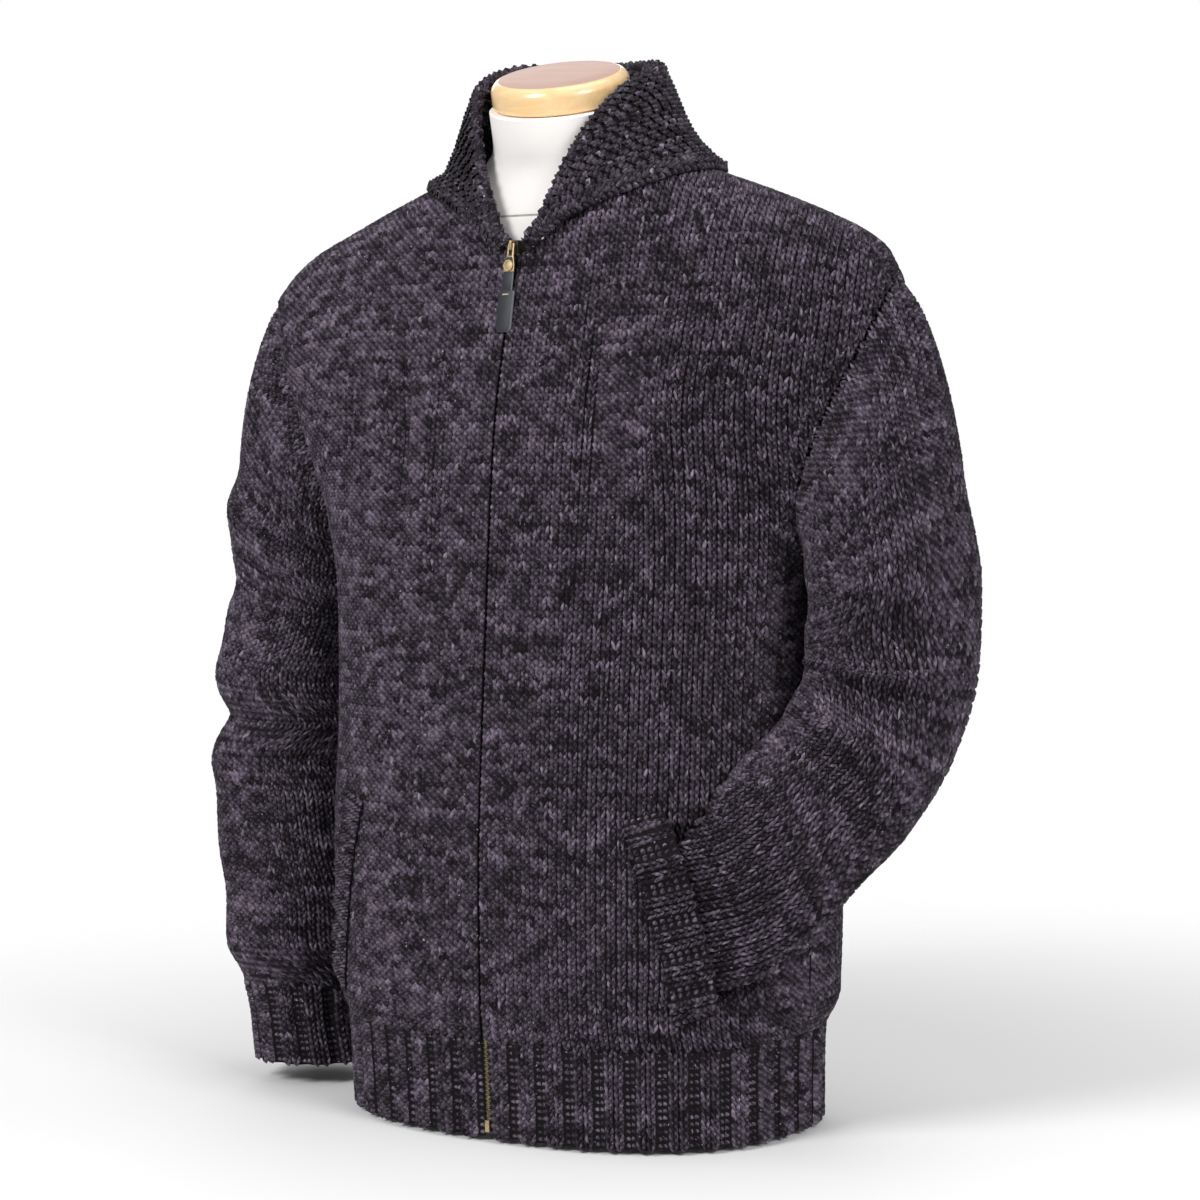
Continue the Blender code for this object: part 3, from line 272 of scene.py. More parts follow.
def body_table():
    return {name: np.array([row[i] for row in BODY_ROWS]) for i, name in enumerate(BODY_COLUMNS)}


BODY = body_table()


def smooth_interp(x, xs, ys):
    """Cubic interpolation with limited slopes, so a section never overshoots its neighbours."""
    steps = np.diff(xs)
    rises = np.diff(ys) / steps
    slopes = np.zeros_like(ys)
    same_way = rises[:-1] * rises[1:] > 0
    weights_a = 2 * steps[1:] + steps[:-1]
    weights_b = steps[1:] + 2 * steps[:-1]
    with np.errstate(divide="ignore", invalid="ignore"):
        harmonic = (weights_a + weights_b) / (weights_a / rises[:-1] + weights_b / rises[1:])
    slopes[1:-1] = np.where(same_way, harmonic, 0.0)
    slopes[0], slopes[-1] = rises[0], rises[-1]
    x = np.clip(x, xs[0], xs[-1])
    i = np.clip(np.searchsorted(xs, x) - 1, 0, len(xs) - 2)
    t = (x - xs[i]) / steps[i]
    h = steps[i]
    return (
        ys[i] * (1 + 2 * t) * (1 - t) ** 2
        + slopes[i] * h * t * (1 - t) ** 2
        + ys[i + 1] * t**2 * (3 - 2 * t)
        + slopes[i + 1] * h * t**2 * (t - 1)
    )


def smoothstep(x):
    x = np.clip(x, 0.0, 1.0)
    return x * x * (3 - 2 * x)


def base_radius(angle, z):
    """Distance from the axis to the plain torso at an angle from the middle front, in degrees."""
    left, right, f, b, n = (smooth_interp(z, BODY["z"], BODY[c]) for c in BODY_COLUMNS[1:])
    turn = np.radians(angle)
    across, along = np.sin(turn), np.cos(turn)
    wide = np.where(across > 0, left, right)
    depth = np.where(along > 0, f, b)
    return ((np.abs(across) / wide) ** n + (np.abs(along) / depth) ** n) ** (-1.0 / n)


def mouth_angle(side, z):
    """Angle of the welt's free edge at a height."""
    (top_angle, top_z), (foot_angle, foot_z) = POCKET_TOP, POCKET_FOOT
    t = (z - foot_z) / (top_z - foot_z)
    t = np.clip(t, -0.35, 1.35)
    return side * (foot_angle + (top_angle - foot_angle) * t)


def mouth_share(z):
    """How far open the pocket is at a height: 0 at both ends of the mouth."""
    t = (z - POCKET_FOOT[1]) / (POCKET_TOP[1] - POCKET_FOOT[1])
    return np.clip(1 - np.abs(2 * t - 1) ** 5, 0.0, 1.0)


def pocket_offset(angle, z, over):
    """Radial move at the left pocket: the front lifts over the cuff, the cloth under it sinks."""
    plain = base_radius(angle, z)
    toward_zip = np.radians(mouth_angle(1, z) - angle) * plain
    out = POCKET_LIFT * np.exp(-((np.maximum(toward_zip, 0.0) / LIFT_REACH) ** 2))
    inward = np.maximum(MOUTH_UNDERLAP - toward_zip, 0.0)
    sunk = -POCKET_PRESS * np.exp(-((inward / PRESS_REACH) ** 2))
    return np.where(angle > 0, np.where(over, out, sunk) * mouth_share(z), 0.0)


def fold_offset(angle, z):
    total = np.zeros(np.broadcast(angle, z).shape)
    turn = (np.asarray(angle) + 360.0) % 360.0
    for fold_angle, fold_z, length, width, depth, slant in TORSO_FOLDS:
        around = (turn - fold_angle + 180.0) % 360.0 - 180.0
        across = np.radians(around) * FOLD_RADIUS
        up = z - fold_z
        lean = math.radians(slant)
        along = up * math.cos(lean) + across * math.sin(lean)
        aside = across * math.cos(lean) - up * math.sin(lean)
        total = total + depth * np.exp(-((along / length) ** 2) - (aside / width) ** 2)
    return total


def torso(angle, z, over=None):
    """Point of the torso's outer face. over says which side of a pocket mouth the cloth is on."""
    angle, z = np.broadcast_arrays(np.asarray(angle, float), np.asarray(z, float))
    radius = base_radius(angle, z) + fold_offset(angle, z)
    if over is not None:
        radius = radius + pocket_offset(angle, z, over)
    turn = np.radians(angle)
    return np.stack([radius * np.sin(turn), -radius * np.cos(turn), z], -1)


def unit(v):
    return v / np.maximum(np.linalg.norm(v, axis=-1, keepdims=True), 1e-12)


def flat_on(way, normal):
    """A direction laid flat on the cloth."""
    return unit(way - (way * normal).sum(-1, keepdims=True) * normal)


def run_length(points):
    """Distance along a line of points, from the first to each."""
    return np.concatenate([[0.0], np.cumsum(np.linalg.norm(np.diff(points, axis=0), axis=1))])


def along_line(here, run, table):
    """Rows of a table, such as a line's points, at distances along it."""
    return np.stack([np.interp(here, run, column) for column in table.T], 1)


def stretches(used):
    """Each unbroken stretch of a row of yes and no, as its start and stop."""
    marks = np.flatnonzero(np.diff(np.concatenate([[0], used.astype(int), [0]])))
    return list(zip(marks[::2], marks[1::2]))


def pair(first, second):
    """Two columns and a column of noughts, since an attribute is a vector."""
    first, second = np.broadcast_arrays(first, second)
    return np.stack([first, second, np.zeros(first.shape)], 1)


def torso_normal(angle, z, over=None):
    step_angle, step_z = 0.4, 0.0015
    around = torso(angle + step_angle, z, over) - torso(angle - step_angle, z, over)
    up = torso(angle, z + step_z, over) - torso(angle, z - step_z, over)
    return unit(np.cross(around, up))


def armhole_edge(z, front, side):
    """Angle of a panel's outer edge at a height: the armhole seam, or the side seam and the shoulder."""
    middle, half = (SHOULDER_Z + UNDERARM_Z) / 2, (SHOULDER_Z - UNDERARM_Z) / 2
    height = np.clip((z - middle) / half, -1.0, 1.0)
    reach = np.sqrt(1 - height**2) * (1 - ARMHOLE_SAG * height)
    edge = 90 - ARMHOLE_FRONT[side] * reach if front else 90 + ARMHOLE_BACK * reach
    return np.where((z < UNDERARM_Z) | (z > SHOULDER_Z), 90.0, edge)


def neck_edge(z):
    """Angle of the front neckline at a height: 0 at the zip, rising to the shoulder."""
    t = np.clip((z - NECK_V_Z) / (NECK_TOP_Z - NECK_V_Z), 0.0, 1.0)
    return 72.0 * t**0.75


def zip_half_gap(z):
    """Half the space between the two fronts, which part a little in the rib."""
    return 0.5 * (ZIP_GAP + (ZIP_GAP_HEM - ZIP_GAP) * smoothstep((0.095 - z) / 0.03))

# %% [markdown]
# ## Tools for cloth
#
# A wall is two grids of points joined round their edges. The real cloth is about 4 mm thick. The
# shell takes its inner part and the stitches, which are real shapes, take the outer part.

# %% Walls
SHELL_FACE = 0.0016
SHELL_BACK = 0.0038
BODY_NAME, PULL_NAME = "garment", "pull"


def new_object(name, points, faces, sharp=None):
    mesh = bpy.data.meshes.new(name)
    mesh.from_pydata(np.asarray(points, float).tolist(), [], faces)
    mesh.shade_smooth()
    if sharp is not None:
        mesh.set_sharp_from_angle(angle=math.radians(sharp))
    made = bpy.data.objects.new(name, mesh)
    bpy.context.scene.collection.objects.link(made)
    return made


def wall(name, outer, inner, keep=None, closed=False):
    """A closed wall between two grids of points [row, column]. keep drops cells where it is False."""
    rows, columns = outer.shape[:2]
    wide = columns if closed else columns - 1
    keep = np.ones((rows - 1, wide), bool) if keep is None else keep
    back = rows * columns
    faces = []
    for r, c in np.argwhere(keep):
        a, b = r * columns + c, r * columns + (c + 1) % columns
        d, e = b + columns, a + columns
        faces.append((a, b, d, e))
        faces.append((back + a, back + e, back + d, back + b))
        for nr, nc, p, q in ((r - 1, c, a, b), (r, c + 1, b, d), (r + 1, c, d, e), (r, c - 1, e, a)):
            nc = nc % wide if closed else nc
            if not (0 <= nr < rows - 1 and 0 <= nc < wide and keep[nr, nc]):
                faces.append((q, p, back + p, back + q))
    points = np.concatenate([outer.reshape(-1, 3), inner.reshape(-1, 3)])
    used = np.unique([v for face in faces for v in face])
    place = np.full(len(points), -1)
    place[used] = np.arange(len(used))
    made = new_object(name, points[used], [tuple(int(place[v]) for v in face) for face in faces], 50)
    return outward(made)


def outward(made):
    """Turn every face of a closed piece outwards."""
    work = bmesh.new()
    work.from_mesh(made.data)
    bmesh.ops.recalc_face_normals(work, faces=work.faces)
    work.to_mesh(made.data)
    work.free()
    return made


def place_piece(made, kind, slot, body, *nodes):
    """Give a piece its material, its body and the frame's nodes that it stands for."""
    made.data.materials.clear()
    made.data.materials.append(kind)
    if nodes:
        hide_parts(*nodes)
    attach(made, body)
    return made


# %% [markdown]
# ## The yarn
#
# The yarn is a charcoal marl: dark fibres with paler lilac-grey ones twisted in, so each row shows
# streaks along its own yarn, and a few white flecks. Stitches carry two attributes. "yarn" says how
# far along the row a stitch lies and which row it is, and "leg" where a point lies in its stitch.
# One node group turns these into a colour and a height, and the shells and the stitches share it.


# %% Yarn node group
def math_node(tree, way, first, second=None, third=None, clamp=False):
    made = tree.nodes.new("ShaderNodeMath")
    made.operation, made.use_clamp = way, clamp
    for i, value in enumerate((first, second, third)):
        if value is None:
            continue
        if isinstance(value, (int, float)):
            made.inputs[i].default_value = value
        else:
            tree.links.new(value, made.inputs[i])
    return made.outputs[0]


def noise(tree, vector, scale, detail=2.0, roughness=0.5):
    made = tree.nodes.new("ShaderNodeTexNoise")
    made.inputs["Scale"].default_value = scale
    made.inputs["Detail"].default_value = detail
    made.inputs["Roughness"].default_value = roughness
    tree.links.new(vector, made.inputs["Vector"])
    return made.outputs["Fac"]


def stretched(tree, vector, scale):
    made = tree.nodes.new("ShaderNodeVectorMath")
    made.operation = "MULTIPLY"
    tree.links.new(vector, made.inputs[0])
    made.inputs[1].default_value = scale
    return made.outputs[0]


def mix_colour(tree, share, first, second, way="MIX"):
    made = tree.nodes.new("ShaderNodeMix")
    made.data_type, made.blend_type = "RGBA", way
    sockets = [s for s in made.inputs if s.type == "RGBA"]
    for socket, value in zip(sockets, (first, second)):
        if isinstance(value, tuple):
            socket.default_value = (*value, 1.0)
        else:
            tree.links.new(value, socket)
    factor = made.inputs[0]
    if isinstance(share, (int, float)):
        factor.default_value = share
    else:
        tree.links.new(share, factor)
    return next(s for s in made.outputs if s.type == "RGBA")


def new_group(name, inputs, outputs, family="ShaderNodeTree"):
    """A node group with named sockets: rows of (name, kind, start value)."""
    tree = bpy.data.node_groups.new(name, family)
    for label, kind, start in inputs:
        socket = tree.interface.new_socket(name=label, in_out="INPUT", socket_type=kind)
        if start is not None:
            socket.default_value = start
    for label, kind in outputs:
        tree.interface.new_socket(name=label, in_out="OUTPUT", socket_type=kind)
    return tree, tree.nodes.new("NodeGroupInput").outputs, tree.nodes.new("NodeGroupOutput").inputs


def add_bump(tree, shader, height, strength, distance):
    lump = tree.nodes.new("ShaderNodeBump")
    lump.inputs["Strength"].default_value = strength
    lump.inputs["Distance"].default_value = distance
    tree.links.new(height, lump.inputs["Height"])
    tree.links.new(lump.outputs["Normal"], shader.inputs["Normal"])


def make_marl_group():
    tree, given, result = new_group(
        "marl_yarn",
        (
            ("Yarn", "NodeSocketVector", None),
            ("Leg", "NodeSocketVector", None),
            ("Place", "NodeSocketVector", None),
            ("Dark", "NodeSocketColor", (0.012, 0.011, 0.014, 1.0)),
            ("Pale", "NodeSocketColor", (0.105, 0.100, 0.118, 1.0)),
            ("Fleck", "NodeSocketColor", (0.40, 0.36, 0.43, 1.0)),
        ),
        (("Color", "NodeSocketColor"), ("Height", "NodeSocketFloat")),
    )
    parts = tree.nodes.new("ShaderNodeSeparateXYZ")
    tree.links.new(given["Leg"], parts.inputs[0])
    along = tree.nodes.new("ShaderNodeCombineXYZ")
    tree.links.new(parts.outputs[0], along.inputs[0])
    thread = tree.nodes.new("ShaderNodeVectorMath")
    tree.links.new(given["Yarn"], thread.inputs[0])
    tree.links.new(along.outputs[0], thread.inputs[1])
    thread = thread.outputs[0]
    streak = noise(tree, stretched(tree, thread, (44.0, 3.71, 0.0)), 1.0, 2.0, 0.55)
    spot = noise(tree, stretched(tree, thread, (230.0, 9.13, 0.0)), 1.0, 1.0, 0.5)
    broad = noise(tree, given["Place"], 7.0, 2.0, 0.5)
    share = math_node(tree, "MULTIPLY_ADD", streak, 1.7, math_node(tree, "MULTIPLY_ADD", spot, 1.1, -0.95))
    share = math_node(tree, "ADD", share, math_node(tree, "MULTIPLY_ADD", broad, 0.24, -0.12))
    twist_at = stretched(tree, given["Leg"], (900.0, 1350.0, 0.0))
    parts = tree.nodes.new("ShaderNodeSeparateXYZ")
    tree.links.new(twist_at, parts.inputs[0])
    turn = math_node(tree, "ADD", parts.outputs[0], parts.outputs[1])
    ply = math_node(tree, "MULTIPLY_ADD", math_node(tree, "SINE", turn), 0.5, 0.5)
    share = math_node(tree, "ADD", share, math_node(tree, "MULTIPLY_ADD", ply, 0.34, -0.17))
    fibre = noise(tree, given["Place"], 1500.0, 2.0, 0.6)
    share = math_node(tree, "ADD", share, math_node(tree, "MULTIPLY_ADD", fibre, 0.9, -0.45), clamp=True)
    share = math_node(tree, "POWER", share, 2.1)
    colour = mix_colour(tree, share, given["Dark"], given["Pale"])
    bright_flecks = noise(tree, stretched(tree, thread, (300.0, 17.7, 0.0)), 1.0, 1.0, 0.5)
    bright = ramp(tree, bright_flecks, 0.64, 0.78, 0.0, 0.60)
    colour = mix_colour(tree, bright, colour, given["Fleck"])
    fleck = ramp(tree, noise(tree, given["Place"], 420.0, 1.0, 0.5), 0.735, 0.79)
    colour = mix_colour(tree, fleck, colour, given["Fleck"])
    tree.links.new(colour, result["Color"])
    height = math_node(tree, "MULTIPLY_ADD", fibre, 0.6, math_node(tree, "MULTIPLY", ply, 0.4))
    tree.links.new(height, result["Height"])
    return tree


MARL = make_marl_group()
print("yarn group nodes", len(MARL.nodes))


# %% Wool materials
def wool(name, dark, pale, bump=0.35, sheen=0.22):
    made, tree, shader = new_material(name)
    group = tree.nodes.new("ShaderNodeGroup")
    group.node_tree = MARL
    for label, attribute in (("Yarn", "yarn"), ("Leg", "leg")):
        read = tree.nodes.new("ShaderNodeAttribute")
        read.attribute_name = attribute
        tree.links.new(read.outputs["Vector"], group.inputs[label])
    tree.links.new(object_place(tree), group.inputs["Place"])
    group.inputs["Dark"].default_value = (*dark, 1.0)
    group.inputs["Pale"].default_value = (*pale, 1.0)
    add_bump(tree, shader, group.outputs["Height"], bump, 0.0006)
    tree.links.new(group.outputs["Color"], shader.inputs["Base Color"])
    shader.inputs["Roughness"].default_value = 0.92
    shader.inputs["Specular IOR Level"].default_value = 0.18
    shader.inputs["Sheen Weight"].default_value = sheen
    shader.inputs["Sheen Roughness"].default_value = 0.45
    shader.inputs["Sheen Tint"].default_value = (0.78, 0.70, 0.82, 1.0)
    return made


STITCH_WOOL = wool("wool_stitches", (0.0095, 0.0069, 0.0095), (0.250, 0.200, 0.274), 0.45, 0.08)
# The shells' yarn is far darker than the stitches': painted shade, for the gaps between the stitches and the
# openings where a shell shows
SHADED_SHELL_WOOL = wool("wool_inside", (0.0045, 0.0032, 0.0045), (0.030, 0.024, 0.031), 0.5, 0.05)
# The collar's yarn is darker than the body's: painted shade, for the self-shadowing of the moss stitch's
# bumps
SHADED_MOSS_WOOL = wool("wool_moss", (0.0085, 0.0062, 0.0085), (0.135, 0.110, 0.150), 0.45, 0.05)
print("wool materials", STITCH_WOOL.name, SHADED_MOSS_WOOL.name, SHADED_SHELL_WOOL.name)

# %% [markdown]
# ## Knitting with Geometry Nodes
#
# Stockinette is columns of small Vs: each V is one loop, and its two legs are short plump leaves of
# yarn. A purl stitch shows a bump across instead. A script works out where each stitch of a piece
# lies, and one node tree puts a V or a bump on every such point, turned to the cloth, with a little
# seeded unevenness. Real geometry gives the bumpy outline and the shadows between the legs.

# %% One stitch
STITCH_WIDE, STITCH_HIGH = 0.0076, 0.0051
LEG_HALF, LEG_RISE, LEG_SINK = 0.00136, 0.0013, 0.0022
# Middle line of a knit stitch's right leg and of a purl bump: across, up, out and share of width
# Columns: across, up, out, share
LEG_ROWS = (
    (0.00020, -0.00440, -0.00140, 0.0),
    (0.00100, -0.00190, 0.00000, 1.0),
    (0.00245, 0.00190, 0.00000, 1.0),
    (0.00300, 0.00430, -0.00170, 0.0),
)
PURL_ROWS = (
    (-0.00390, -0.00035, -0.00110, 0.0),
    (-0.00190, 0.00025, 0.00010, 1.0),
    (0.00190, 0.00025, 0.00010, 1.0),
    (0.00390, -0.00035, -0.00110, 0.0),
)


def leaf(rows, half, rise, sink, sides, mirror=1.0):
    """A plump open leaf of yarn along a middle line, pointed at both ends."""
    rows = np.array(rows)
    rows[:, 0] *= mirror
    line = rows[:, :3]
    points = [line[0]]
    for i in range(1, len(rows) - 1):
        way = line[i + 1, :2] - line[i - 1, :2]
        aside = np.array([way[1], -way[0], 0.0]) / np.linalg.norm(way)
        for t in np.linspace(-1, 1, sides + 1):
            out = rise * (1 - t * t) - sink * t * t
            points.append(line[i] + aside * t * half * rows[i, 3] + np.array([0, 0, out]))
    points.append(line[-1])
    last, wide = len(points) - 1, sides + 1
    faces = [(0, 1 + i, 2 + i) for i in range(sides)]
    for ring in range(len(rows) - 3):
        at = 1 + ring * wide
        faces += [(at + i, at + wide + i, at + wide + i + 1, at + i + 1) for i in range(sides)]
    at = last - wide
    faces += [(last, at + i + 1, at + i) for i in range(sides)]
    return np.array(points), faces


def stitch_source(name, leaves):
    points, faces = [], []
    for more, rings in leaves:
        faces += [tuple(v + sum(map(len, points)) for v in ring) for ring in rings]
        points.append(more)
    points = np.concatenate(points)
    made = new_object(name, points, faces)
    for face in made.data.polygons:
        if face.normal.z < 0:
            face.flip()
    mark = made.data.attributes.new("leg", "FLOAT_VECTOR", "POINT")
    mark.data.foreach_set("vector", points.ravel())
    bpy.context.scene.collection.objects.unlink(made)
    return made


KNIT = stitch_source("knit_stitch", [leaf(LEG_ROWS, LEG_HALF, LEG_RISE, LEG_SINK, 2, m) for m in (1.0, -1.0)])
PURL = stitch_source("purl_stitch", [leaf(PURL_ROWS, 0.0020, 0.0014, 0.0014, 4)])
print("triangles a stitch", [sum(len(f.vertices) - 2 for f in s.data.polygons) for s in (KNIT, PURL)])


# %% Stitch tree
def make_stitch_tree():
    tree, given, result = new_group(
        "stitches",
        (
            ("Points", "NodeSocketGeometry", None),
            ("Knit stitch", "NodeSocketObject", None),
            ("Purl stitch", "NodeSocketObject", None),
            ("Yarn material", "NodeSocketMaterial", None),
            ("Unevenness", "NodeSocketFloat", 0.10),
            ("Turn", "NodeSocketFloat", 0.10),
            ("Seed", "NodeSocketInt", 4),
        ),
        (("Cloth", "NodeSocketGeometry"),),
        "GeometryNodeTree",
    )
    link = tree.links.new

    def read(name, kind):
        node = tree.nodes.new("GeometryNodeInputNamedAttribute")
        node.data_type = kind
        node.inputs["Name"].default_value = name
        return next(s for s in node.outputs if s.enabled and s.name == "Attribute")

    def random(low, high, kind, shift):
        node = tree.nodes.new("FunctionNodeRandomValue")
        node.data_type = kind
        ends = [s for s in node.inputs if s.enabled and s.name in ("Min", "Max")]
        ends[0].default_value, ends[1].default_value = low, high
        seed = tree.nodes.new("ShaderNodeMath")
        link(given["Seed"], seed.inputs[0])
        seed.inputs[1].default_value = shift
        link(seed.outputs[0], node.inputs["Seed"])
        return next(s for s in node.outputs if s.enabled)

    def scaled(vector, amount):
        node = tree.nodes.new("ShaderNodeVectorMath")
        node.operation = "SCALE"
        link(vector, node.inputs[0])
        link(amount, node.inputs["Scale"])
        return node.outputs[0]

    def both(first, second, way):
        node = tree.nodes.new("ShaderNodeVectorMath")
        node.operation = way
        link(first, node.inputs[0])
        link(second, node.inputs[1])
        return node.outputs[0]

    axes = tree.nodes.new("FunctionNodeAxesToRotation")
    axes.primary_axis, axes.secondary_axis = "Z", "Y"
    link(read("normal", "FLOAT_VECTOR"), axes.inputs[0])
    link(read("wale", "FLOAT_VECTOR"), axes.inputs[1])
    lean = tree.nodes.new("FunctionNodeRotateRotation")
    lean.rotation_space = "LOCAL"
    link(axes.outputs[0], lean.inputs[0])
    link(scaled(random((-1, -1, -1), (1, 1, 1), "FLOAT_VECTOR", 1), given["Turn"]), lean.inputs[1])
    wobble = scaled(random((-1, -1, -1), (1, 1, 1), "FLOAT_VECTOR", 2), given["Unevenness"])
    size = read("size", "FLOAT_VECTOR")
    size = both(size, both(size, wobble, "MULTIPLY"), "ADD")
    purl = read("purl", "BOOLEAN")
    plain = tree.nodes.new("FunctionNodeBooleanMath")
    plain.operation = "NOT"
    link(purl, plain.inputs[0])
    join = tree.nodes.new("GeometryNodeJoinGeometry")
    for label, chosen in (("Purl stitch", purl), ("Knit stitch", plain.outputs[0])):
        source = tree.nodes.new("GeometryNodeObjectInfo")
        link(given[label], source.inputs["Object"])
        put = tree.nodes.new("GeometryNodeInstanceOnPoints")
        link(given["Points"], put.inputs["Points"])
        link(chosen, put.inputs["Selection"])
        link(source.outputs["Geometry"], put.inputs["Instance"])
        link(lean.outputs[0], put.inputs["Rotation"])
        link(size, put.inputs["Scale"])
        link(put.outputs[0], join.inputs[0])
    real = tree.nodes.new("GeometryNodeRealizeInstances")
    link(join.outputs[0], real.inputs[0])
    paint = tree.nodes.new("GeometryNodeSetMaterial")
    link(real.outputs[0], paint.inputs["Geometry"])
    link(given["Yarn material"], paint.inputs["Material"])
    link(paint.outputs[0], result[0])
    return tree


STITCHES = make_stitch_tree()
print("stitch tree nodes", len(STITCHES.nodes))


# %% Run the tree on a set of points
def run_tree(holder, tree, values):
    """Apply a node tree to an object's mesh and keep only the plain mesh that it makes."""
    step = holder.modifiers.new("make", "NODES")
    step.node_group = tree
    all_sockets = [item for item in tree.interface.items_tree if item.item_type == "SOCKET"]
    names = {item.name: item.identifier for item in all_sockets if item.in_out == "INPUT"}
    for label, value in values.items():
        step[names[label]] = value
    holder.update_tag()
    graph = bpy.context.evaluated_depsgraph_get()
    mesh = bpy.data.meshes.new_from_object(holder.evaluated_get(graph))
    holder.modifiers.clear()
    old, holder.data = holder.data, mesh
    bpy.data.meshes.remove(old)
    mesh.name = holder.name
    return holder


def knit(name, cloth, body=BODY_NAME, seed=4, unevenness=0.10, yarn=None):
    """Real stitches for a piece. cloth has arrays at, normal, wale, size, purl, yarn and flat."""
    made = new_object(name, cloth["at"], [])
    count = len(cloth["at"])
    for label in ("normal", "wale", "size", "yarn", "flat"):
        mark = made.data.attributes.new(label, "FLOAT_VECTOR", "POINT")
        mark.data.foreach_set("vector", np.asarray(cloth[label], float).ravel())
    mark = made.data.attributes.new("purl", "BOOLEAN", "POINT")
    mark.data.foreach_set("value", np.asarray(cloth["purl"], bool))
    values = {"Knit stitch": KNIT, "Purl stitch": PURL, "Yarn material": yarn or STITCH_WOOL, "Seed": seed}
    values["Unevenness"] = unevenness
    run_tree(made, STITCHES, values)
    lay_flat(made.data)
    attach(made, body)
    faces = sum(len(f.vertices) - 2 for f in made.data.polygons)
    print(name, count, "stitches", faces, "triangles")
    return made


def lay_flat(mesh):
    """A flat map of the knitting: each stitch at its own place in the piece before it was worn."""
    flat, leg = np.zeros((len(mesh.vertices), 3)), np.zeros((len(mesh.vertices), 3))
    mesh.attributes["flat"].data.foreach_get("vector", flat.ravel())
    mesh.attributes["leg"].data.foreach_get("vector", leg.ravel())
    place = flat[:, :2] + leg[:, :2] * np.array([0.85, 0.66])
    place -= place.min(0) - 0.004
    place /= place.max() + 0.004
    corners = np.zeros(len(mesh.loops), int)
    mesh.loops.foreach_get("vertex_index", corners)
    layer = mesh.uv_layers.new(name="OFBake")
    layer.data.foreach_set("uv", place[corners].ravel())
    for label in ("flat", "normal", "wale", "size", "purl"):
        if label in mesh.attributes:
            mesh.attributes.remove(mesh.attributes[label])

# %% [markdown]
# ## Where the stitches of a panel lie
#
# Hand knitting grows in rows of loops. A column of loops, a wale, runs up the panel side by side
# with the zip edge, and wherever the panel is shaped, the wales at its sides just end at the seam.
# So each panel is measured like cloth: across by length of arc at each height, and up by length
# along each wale. The last stitch before a seam is made a little wider or narrower to meet it.


# %% Follow the wales
# A stitch's direction is read this share of its height below and above its middle
STEP_SHARE = 0.3
# An edge stitch narrower than this share of a full one is left out, and its neighbour fills the space
SMALLEST_SHARE = 0.35


def along_wale(points, reach, extra):
    """Even steps up one wale: points and extra values at each step, with the step's direction."""
    first = math.ceil(reach[0] / STITCH_HIGH - 0.5)
    steps = np.arange(first, math.floor(reach[-1] / STITCH_HIGH - 0.5) + 1)
    here = (steps + 0.5) * STITCH_HIGH
    half = STITCH_HIGH * STEP_SHARE

    def at(v):
        return along_line(v, reach, points)

    more = np.stack([np.interp(here, reach, column) for column in extra], 1)
    rise = at(here + half) - at(here - half)
    return steps, here, at(here), rise, more


def gather(parts):
    """One set of arrays from many wales."""
    return {key: np.concatenate([p[key] for p in parts]) for key in parts[0]}


def quarter_table(side, behind):
    """Fine levels of a quarter of the torso: angles from its middle line, and arc lengths."""
    low = np.linspace(RIB_TOP_Z + SEAM_GAP, 0.60, 150)
    high = np.linspace(0.60, NECK_TOP_Z, 260)[1:]
    z = np.concatenate([low, high])
    turns = np.linspace(0.0, 90.0, 121)
    signed = side * ((180.0 - turns) if behind else turns)
    points = torso(np.broadcast_to(signed, (len(z), len(turns))), np.repeat(z[:, None], len(turns), 1))
    arc = np.linalg.norm(np.diff(points, axis=1), axis=2)
    return z, turns, np.concatenate([np.zeros((len(z), 1)), np.cumsum(arc, 1)], 1)


def wale_runs(start_u, arc, z):
    """Each unbroken stretch of a wale: its number, the levels it crosses and its height up the cloth."""
    for k in range(int(arc[:, -1].max() / STITCH_WIDE) + 1):
        reached = start_u + (k + 0.5) * STITCH_WIDE <= arc[:, -1]
        for first, stop in stretches(reached):
            if stop - first > 3:
                yield k, np.arange(first, stop), z[first] - z[0]


